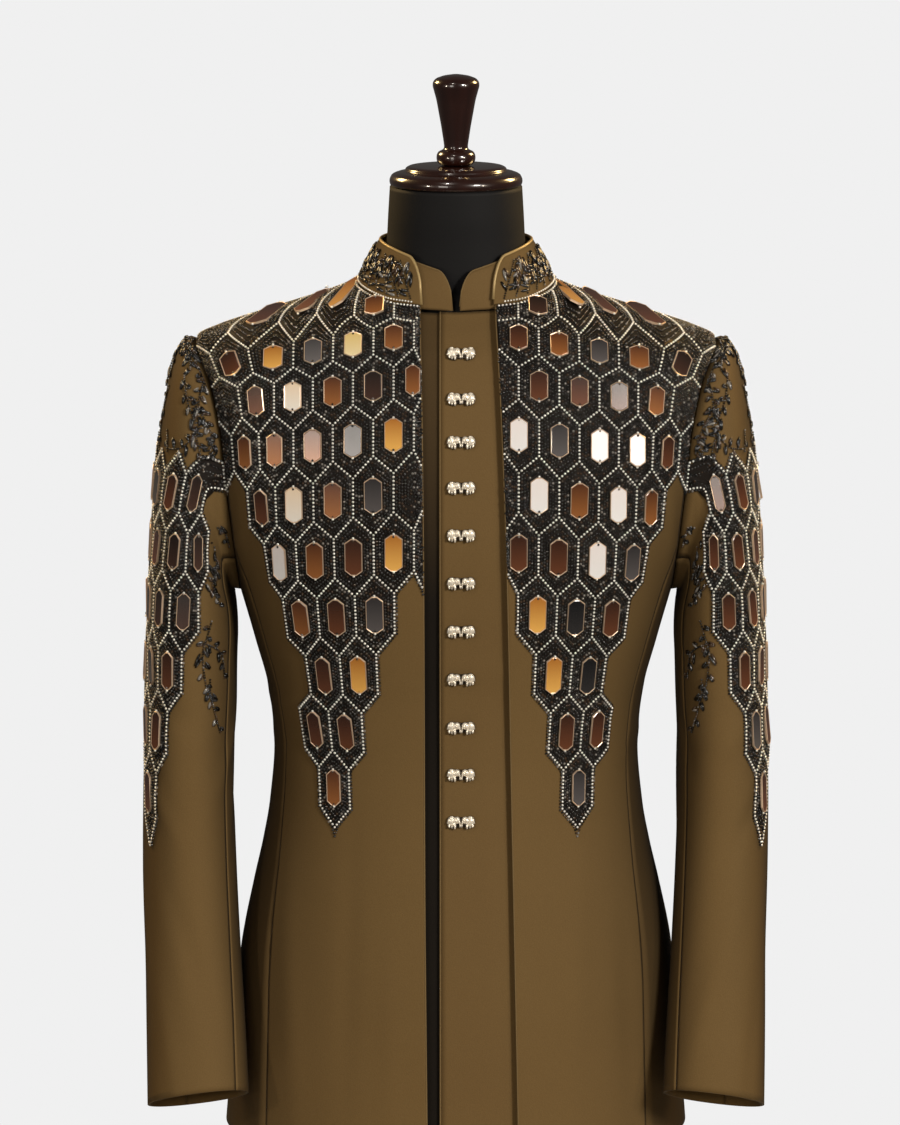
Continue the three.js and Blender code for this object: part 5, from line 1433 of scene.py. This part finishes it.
# sprigs: line and column of the foot, of the end, bend, leaves, leaf length in millimetres
sprigTable = [
    (0.12, 0.6, 0.8, 2.4, 0.15, 9, 8.5), (0.9, 1.2, 0.2, 3.0, -0.15, 9, 8.5),
    (0.15, 2.6, 0.85, 4.4, 0.15, 9, 8.5), (0.9, 3.6, 0.25, 5.2, -0.15, 9, 8.5),
    (0.15, 4.6, 0.9, 6.4, 0.15, 9, 8.5), (0.9, 5.4, 0.2, 7.0, -0.15, 9, 8.5),
    (0.12, 6.4, 0.9, 7.8, 0.12, 8, 8), (0.9, 7.0, 0.3, 8.5, -0.12, 8, 8),
    (1.2, 2.4, 1.0, 4.2, 0.2, 8, 8.5), (1.4, 4.2, 1.2, 5.8, -0.2, 8, 8.5),
    (1.3, 6.0, 1.4, 7.6, 0.2, 8, 8), (0.6, 2.2, 2.7, 0.4, 0.5, 7, 8.5),
    (0.7, 4.4, 3.4, 3.2, -0.5, 8, 9), (1.6, 6.6, 5.2, 6.4, 0.6, 9, 9), (3.2, 4.9, 7.0, 6.9, -0.7, 9, 9),
    (2.4, 1.6, 4.6, 2.4, 0.5, 6, 8.5), (0.5, -0.4, 3.0, -1.4, 0.5, 7, 9),
    (2.8, -0.6, 5.6, -1.2, -0.5, 7, 9), (0.5, 6.2, 1.9, 5.4, 0.4, 4, 8),
    (0.4, -2.6, 2.4, -2.7, 0.4, 6, 8.5), (4.6, 3.6, 5.4, 1.6, 0.3, 4, 8),
    (0.5, 5.3, 2.6, 7.6, 0.4, 7, 8.5), (2.4, 7.9, 4.8, 7.7, -0.4, 7, 8.5),
    (2.2, 5.6, 4.4, 4.4, 0.4, 7, 8.5), (4.4, 8.0, 7.6, 8.0, 0.5, 8, 8.5),
    (5.4, 5.4, 7.2, 5.2, 0.3, 5, 8), (0.6, 1.0, 2.2, 1.4, 0.4, 5, 8), (3.2, 2.6, 5.0, 3.4, -0.3, 5, 8),
    (4.0, 0.4, 5.6, 0.6, 0.3, 5, 8), (9.2, 7.2, 12.8, 7.4, 0.6, 10, 8.5),
    (10.2, 6.6, 11.8, 8.4, -0.4, 6, 8), (11.8, 7.2, 13.8, 8.2, 0.3, 6, 7.5),
]
leafMaker = dict(step=2.3, radius=1.3, spread=0.15, stem=1.05, gap=1.2, foot=1.25, tip=0.35,
                 lineStep=1.6, ahead=0.02)


def leafPair(foot, turn, long, scale):
    # two long beads side by side that nearly meet at the leaf's tip: both ends of each on the flat
    # pattern, at the foot plus the way along the leaf turned by its angle, over millimetres a unit
    m = leafMaker
    c, n = math.cos(turn), math.sin(turn)
    pairs = []
    for edge in (-1, 1):
        ends = []
        for x, wide in ((m["gap"], m["foot"]), (m["gap"] + long, m["tip"])):
            y = edge * m["spread"] * long * wide
            ends.append((foot[0] + (x * c - y * n) / scale[0], foot[1] + (x * n + y * c) / scale[1]))
        pairs.append(ends)
    return pairs


def sprigs(name, side, rows, surface, keep):
    # stems as rows of round beads, each leaf a pair of long ones
    # a stem is a straight way plus bend times the sine of half a turn, across it
    stems, pairs = [], []
    e, uneven = leafMaker["ahead"], leafMaker["lineStep"]
    for line0, column0, line1, column1, bend, leaves, size in rows:
        t = np.linspace(0, 1, 60)
        dl, dc = line1 - line0, column1 - column0
        across = np.hypot(dl * uneven, dc)
        line = line0 + dl * t + bend * np.sin(math.pi * t) * dc / across
        column = column0 + dc * t - bend * np.sin(math.pi * t) * dl * uneven / across
        share = evenAlong(surface(line, column, 0.0), leafMaker["step"])
        stems.append(np.stack([np.interp(share, t, line), np.interp(share, t, column)], -1))
        for i in range(leaves):
            at = (i + 0.6) / leaves
            a, b = np.interp(at, t, line), np.interp(at, t, column)
            p = surface(np.array([a, a + e, a]), np.array([b, b, b + e]), 0.0)
            scale = np.linalg.norm(p[1:] - p[0], axis=1) / e
            heading = math.atan2((np.interp(min(1, at + e), t, column) - b) * scale[1],
                                 (np.interp(min(1, at + e), t, line) - a) * scale[0])
            turn = heading + (1 if i % 2 else -1) * (0.75 + 0.2 * luck.random())
            pairs += leafPair((a, b), turn, size * (0.75 + 0.35 * luck.random()), scale)
    flip = signs[side]
    stems = np.concatenate(stems)
    stems = stems[keep(stems)]
    centres = surface(stems[:, 0], stems[:, 1], 0.9)
    axes = surfaceNormal(surface, stems[:, 0], stems[:, 1])
    beadMesh("stems" + name, centres, axes, 1.0, leafMaker["stem"], "blackBead", flip)
    ends = np.array(pairs)
    ends = ends[keep(ends.mean(1))]
    p = surface(ends[..., 0], ends[..., 1], 1.1)
    axes = p[:, 1] - p[:, 0]
    half = np.linalg.norm(axes, axis=1) / 2
    beadMesh("leaves" + name, p.mean(1), axes, half, leafMaker["radius"], "blackBead", flip)


# how many half cells the sleeve honeycomb reaches to each side of its middle, at a row of heights
combReach = ([474, 520, 577, 631, 685, 737, 788, 812, 824], [0, 1, 2, 3, 4, 5, 6, 6, -2])


def clearOfComb(side, rc):
    # true for places on the top sleeve outside its honeycomb
    z = sleevePoint(side, rc[:, 0], rc[:, 1])[:, 2]
    reach = np.interp(z, *combReach)
    away = np.abs(rc[:, 1] - sleeveComb["column"]) / sleeveComb["half"]
    return (rc[:, 0] > 0.15) & (rc[:, 1] > -3.9) & (rc[:, 1] < 8.8) & (away > reach + 0.3)


for side in "rl":
    sprigs("Sleeve_" + side, side, sprigTable,
           lambda r, c, lift, s=side: sleevePoint(s, np.maximum(r, 0.05), c, lift),
           lambda rc, s=side: clearOfComb(s, rc))


# the collar's leaf work, one run each way from the front end
def collarSurface(u, v, lift):
    # u the way from the right end in millimetres, v the share up from the lower edge
    t, way, up, outer = collarGrids["jacket"]
    rows = outer.shape[0] - 1
    u, v = np.broadcast_arrays(np.asarray(u, float), np.asarray(v, float))
    r = np.clip((1 - v), 0, 1) * rows
    i = np.minimum(r.astype(int), rows - 1)
    s = r - i
    both = [np.stack([np.interp(u, way, outer[j, :, k]) for k in range(3)], -1) for j in range(rows + 1)]
    both = np.array(both)
    take = both.reshape(rows + 1, -1, 3)
    flat = np.arange(u.size)
    p = take[i.ravel(), flat] * (1 - s.ravel()[:, None]) + take[i.ravel() + 1, flat] * s.ravel()[:, None]
    out = p / np.maximum(np.hypot(p[:, 0], p[:, 1]), 1e-6)[:, None]
    out[:, 2] = 0
    lift = np.broadcast_to(lift, u.shape).ravel()[:, None]
    return (p + out * lift).reshape(u.shape + (3,))


collarWorkMaker = dict(start=9.0, step=11.0, count=12, leaf=11.0, high=28.0, radius=1.5, lean=14,
                       foot=0.14, tops=(0.86, 0.66), leaves=6, end=7, rowEnd=8, row=0.06, pitch=2.6)


def collarWork():
    # sprigs that lean away from the front ends, over a row of small silver beads
    m = collarWorkMaker
    total = collarGrids["jacket"][1][-1]
    low, high = m["foot"], m["tops"][0]
    pairs, dots = [], []
    for sign, start in ((1, m["start"]), (-1, total - m["start"])):
        for step in range(m["count"]):
            u0 = start + sign * step * m["step"]
            u1, v1 = u0 + sign * m["lean"], m["tops"][step % 2]
            t = np.linspace(0, 1, 40)
            u, v = u0 + (u1 - u0) * t ** 1.3, low + (v1 - low) * t
            share = evenAlong(collarSurface(u, v, 0.0), 2.1)
            dots.append(np.stack([np.interp(share, t, u), np.interp(share, t, v)], -1))
            heading = math.atan2((v1 - low) * m["high"], u1 - u0)
            for i in range(m["leaves"]):
                at = (i + 0.7) / m["leaves"]
                foot = (np.interp(at, t, u), np.interp(at, t, v))
                turn = heading + (1 if i % 2 else -1) * (0.75 + 0.3 * luck.random())
                pairs += leafPair(foot, turn, m["leaf"] * (0.7 + 0.35 * luck.random()), (1.0, m["high"]))
    ends = np.array(pairs)
    middle = ends.mean(1)
    ends = ends[(middle[:, 1] > low) & (middle[:, 1] < high)
                & (middle[:, 0] > m["end"]) & (middle[:, 0] < total - m["end"])]
    p = collarSurface(ends[..., 0], np.clip(ends[..., 1], 0.1, 0.92), 1.0)
    axes = p[:, 1] - p[:, 0]
    half = np.linalg.norm(axes, axis=1) / 2
    beadMesh("leavesCollar", p.mean(1), axes, half, m["radius"], "blackBead", 1)
    dots = np.concatenate(dots)
    p = collarSurface(dots[:, 0], dots[:, 1], 0.8)
    beadMesh("stemsCollar", p, p * [1, 1, 0], 0.9, 0.95, "blackBead", 1)
    u = np.arange(m["rowEnd"], total - m["rowEnd"], m["pitch"])
    p = collarSurface(u, np.full(len(u), m["row"]), 0.6)
    beadMesh("footCollar", p, p * [1, 1, 0], 0.9, 1.0, "silverBead", 1)


collarWork()
print("leaf work ready")


# buttons: two elephants head to head, cast in one piece
buttonHeights = [915, 877, 840.5, 801.5, 760.5, 718, 675, 632, 589, 547.5, 506.5]
buttonMaker = dict(x=4.3, wide=24.6, tall=13.2, relief=2.9, swell=1.06, grid=(97, 53), shank=0.45)
# one elephant in millimetres from the middle: centre across, centre up, half width, half height, height, turn
elephantParts = [
    (7.2, 0.7, 4.4, 4.2, 1.0, 0.0), (3.4, 1.6, 2.9, 3.2, 1.12, 0.15), (1.3, 0.0, 1.0, 2.9, 0.85, -0.25),
    (0.7, -2.9, 0.85, 1.9, 0.72, 0.0), (5.0, -3.6, 1.25, 2.6, 0.85, 0.0),
    (7.4, -4.0, 0.9, 2.0, 0.55, 0.0), (9.7, -3.5, 1.25, 2.7, 0.85, 0.0),
    (11.2, -0.6, 0.5, 2.2, 0.55, 0.15), (8.0, 4.3, 2.4, 0.8, 0.85, -0.1),
]


def elephantRelief():
    # height of the cast at each place: the highest of the ellipsoids, top * sqrt(1 - a * a - b * b),
    # less a groove round the ear, the eye and two lines for the saddle cloth
    nx, nz = buttonMaker["grid"]
    x = np.linspace(-1, 1, nx)[None] * buttonMaker["wide"] / 2
    z = np.linspace(-1, 1, nz)[:, None] * buttonMaker["tall"] / 2
    high = np.zeros((nz, nx))
    for px, pz, hw, hh, top, turn in elephantParts:
        dx, dz = np.abs(x) / buttonMaker["swell"] - px, z / buttonMaker["swell"] - pz
        a = (dx * math.cos(turn) + dz * math.sin(turn)) / hw
        b = (-dx * math.sin(turn) + dz * math.cos(turn)) / hh
        high = np.maximum(high, top * np.sqrt(np.clip(1 - a * a - b * b, 0, 1)))
    ear = ((np.abs(x) - 5.2) / 1.8) ** 2 + ((z - 1.4) / 2.4) ** 2
    groove = np.exp(-((np.sqrt(ear) - 1) / 0.16) ** 2) * (high > 0.3)
    eye = np.exp(-(((np.abs(x) - 3.1) / 0.4) ** 2 + ((z - 2.3) / 0.4) ** 2))
    cloth = np.exp(-((np.abs(np.abs(x) - 8.2) - 1.9) / 0.25) ** 2) * (z > -1.5) * (high > 0.3)
    return x + 0 * z, z + 0 * x, high - 0.28 * groove - 0.3 * eye * (high > 0) - 0.2 * cloth, high


def buttons():
    x, z, relief, raw = elephantRelief()
    inside = (np.abs(x) / 12.2) ** 2.8 + (np.abs(z) / 6.5) ** 2.8 < 1
    solid = inside & (raw > 0.02)
    back = inside & (np.abs(x) < 10.4) & (np.abs(z) < 4.4)
    mask = solid | back
    quadMask = mask[:-1, :-1] & mask[1:, :-1] & mask[:-1, 1:] & mask[1:, 1:]
    ids = np.arange(x.size).reshape(x.shape)
    quads = np.stack([ids[:-1, :-1], ids[:-1, 1:], ids[1:, 1:], ids[1:, :-1]], -1)[quadMask]
    edges = np.concatenate([quads[:, [0, 1]], quads[:, [1, 2]], quads[:, [2, 3]], quads[:, [3, 0]]])
    order = np.sort(edges, 1)
    _, first, count = np.unique(order[:, 0] * x.size + order[:, 1], return_index=True, return_counts=True)
    rim = edges[first[count == 1]]
    n = x.size
    walls = np.stack([rim[:, 1], rim[:, 0], rim[:, 0] + n, rim[:, 1] + n], 1)
    faces = np.concatenate([quads, quads[:, ::-1] + n, walls])
    used = np.unique(faces)
    rename = np.full(2 * n, -1)
    rename[used] = np.arange(len(used))
    faces = rename[faces]
    top = 1.0 + relief * buttonMaker["relief"]
    # painted light: the cast's colour runs from near black on its low parts, back plate and underside, a
    # painted shade, to pale gold on the raised relief, a painted highlight
    shade = np.clip(relief * 2.2 - 0.45, 0.0, 1).ravel()
    gold, dark = np.array([0.98, 0.90, 0.76]), np.array([0.03, 0.02, 0.012])
    tone = dark + (gold - dark) * shade[:, None]
    tone = np.concatenate([tone, np.tile(dark, (n, 1))])[used]
    for i, height in enumerate(buttonHeights):
        at = np.array([wayOfX(height, buttonMaker["x"])])
        p = ringAt(at, np.array([height]))[0]
        normal = outward(p[None])[0]
        p = p - normal * (innerMaker["depth"] - 0.3 - buttonMaker["shank"])
        rise = np.array([0, normal[2], -normal[1]]) / math.hypot(normal[1], normal[2])
        local = p + np.array([1.0, 0, 0]) * x.ravel()[:, None] + rise * z.ravel()[:, None]
        points = np.concatenate([local + normal * top.ravel()[:, None], local])[used]
        name = "button_%02d" % (i + 1)
        piece = putMesh(name + "_cast", points, outwardFaces(points, [faces]), "buttonMetal", colour=tone)
        declare(piece, [name])


buttons()
print("buttons ready")


# stage, camera and light
stageMaker = dict(floor=0.60, backdrop=0.871, ambient=0.07)


def stage():
    turn = np.linspace(0, 2 * math.pi, 96, endpoint=False)
    ring = np.stack([np.sin(turn), -np.cos(turn), 0 * turn], -1) * stageMaker["floor"] * 1000
    rings = np.stack([ring + [0, 0, -12], ring + [0, 0, -0.3]])
    newMaterial("paleFloor", Base_Color=(0.8, 0.8, 0.8, 1), Roughness=0.6)
    points, faces = closedRings(rings)
    floor = putMesh("floor", points, faces, "paleFloor", smooth=False)


def areaLight(name, place, aim, size, power, colour):
    data = bpy.data.lights.new(name, "AREA")
    data.shape = "RECTANGLE"
    data.size, data.size_y = size, size
    data.energy, data.color = power, colour
    light = bpy.data.objects.new(name, data)
    bpy.context.scene.collection.objects.link(light)
    light.location = place
    light.rotation_euler = (Vector(aim) - Vector(place)).to_track_quat("-Z", "Y").to_euler()


def room():
    world = bpy.data.worlds.new("room")
    bpy.context.scene.world = world
    world.use_nodes = True
    tree = world.node_tree
    tree.nodes.clear()
    out = tree.nodes.new("ShaderNodeOutputWorld")
    seen, lit = tree.nodes.new("ShaderNodeBackground"), tree.nodes.new("ShaderNodeBackground")
    b = stageMaker["backdrop"]
    seen.inputs["Color"].default_value = (b, b, b, 1)
    lit.inputs["Color"].default_value = (1.0, 0.95, 0.88, 1)
    lit.inputs["Strength"].default_value = stageMaker["ambient"]
    path, mix = tree.nodes.new("ShaderNodeLightPath"), tree.nodes.new("ShaderNodeMixShader")
    tree.links.new(path.outputs["Is Camera Ray"], mix.inputs["Fac"])
    tree.links.new(lit.outputs["Background"], mix.inputs[1])
    tree.links.new(seen.outputs["Background"], mix.inputs[2])
    tree.links.new(mix.outputs["Shader"], out.inputs["Surface"])


stage()
room()
areaLight("key", (2.1, -2.8, 2.1), (0, 0, 0.65), 0.6, 92, (1.0, 0.94, 0.86))
areaLight("fill", (-1.2, -3.0, 1.2), (0, 0, 0.5), 0.9, 12, (1.0, 0.93, 0.84))
areaLight("rimRight", (-1.5, 0.9, 1.9), (0, 0, 0.88), 0.6, 36, (1.0, 0.68, 0.30))
areaLight("rimLeft", (1.5, 0.9, 1.9), (0, 0, 0.88), 0.6, 36, (1.0, 0.68, 0.30))
areaLight("sparkleHigh", (-0.5, -1.6, 2.6), (0, 0, 0.8), 0.15, 7, (1.0, 0.92, 0.82))
areaLight("sparkleRight", (-1.9, -1.7, 1.2), (-0.1, 0, 0.75), 0.15, 8, (1.0, 0.86, 0.70))
areaLight("sparkleLeft", (1.9, -1.7, 1.4), (0.1, 0, 0.75), 0.15, 8, (1.0, 0.86, 0.70))
camera = bpy.data.objects.new("camera", bpy.data.cameras.new("camera"))
bpy.context.scene.collection.objects.link(camera)
camera.location = (-0.0052, -4.3263, 1.51666)
camera.rotation_euler = (math.radians(79.5), 0, 0)
camera.data.sensor_fit = "VERTICAL"
camera.data.sensor_height = 36
camera.data.lens = 160
camera.data.clip_end = 50
bpy.context.scene.camera = camera
bpy.context.scene.view_settings.view_transform = "Standard"
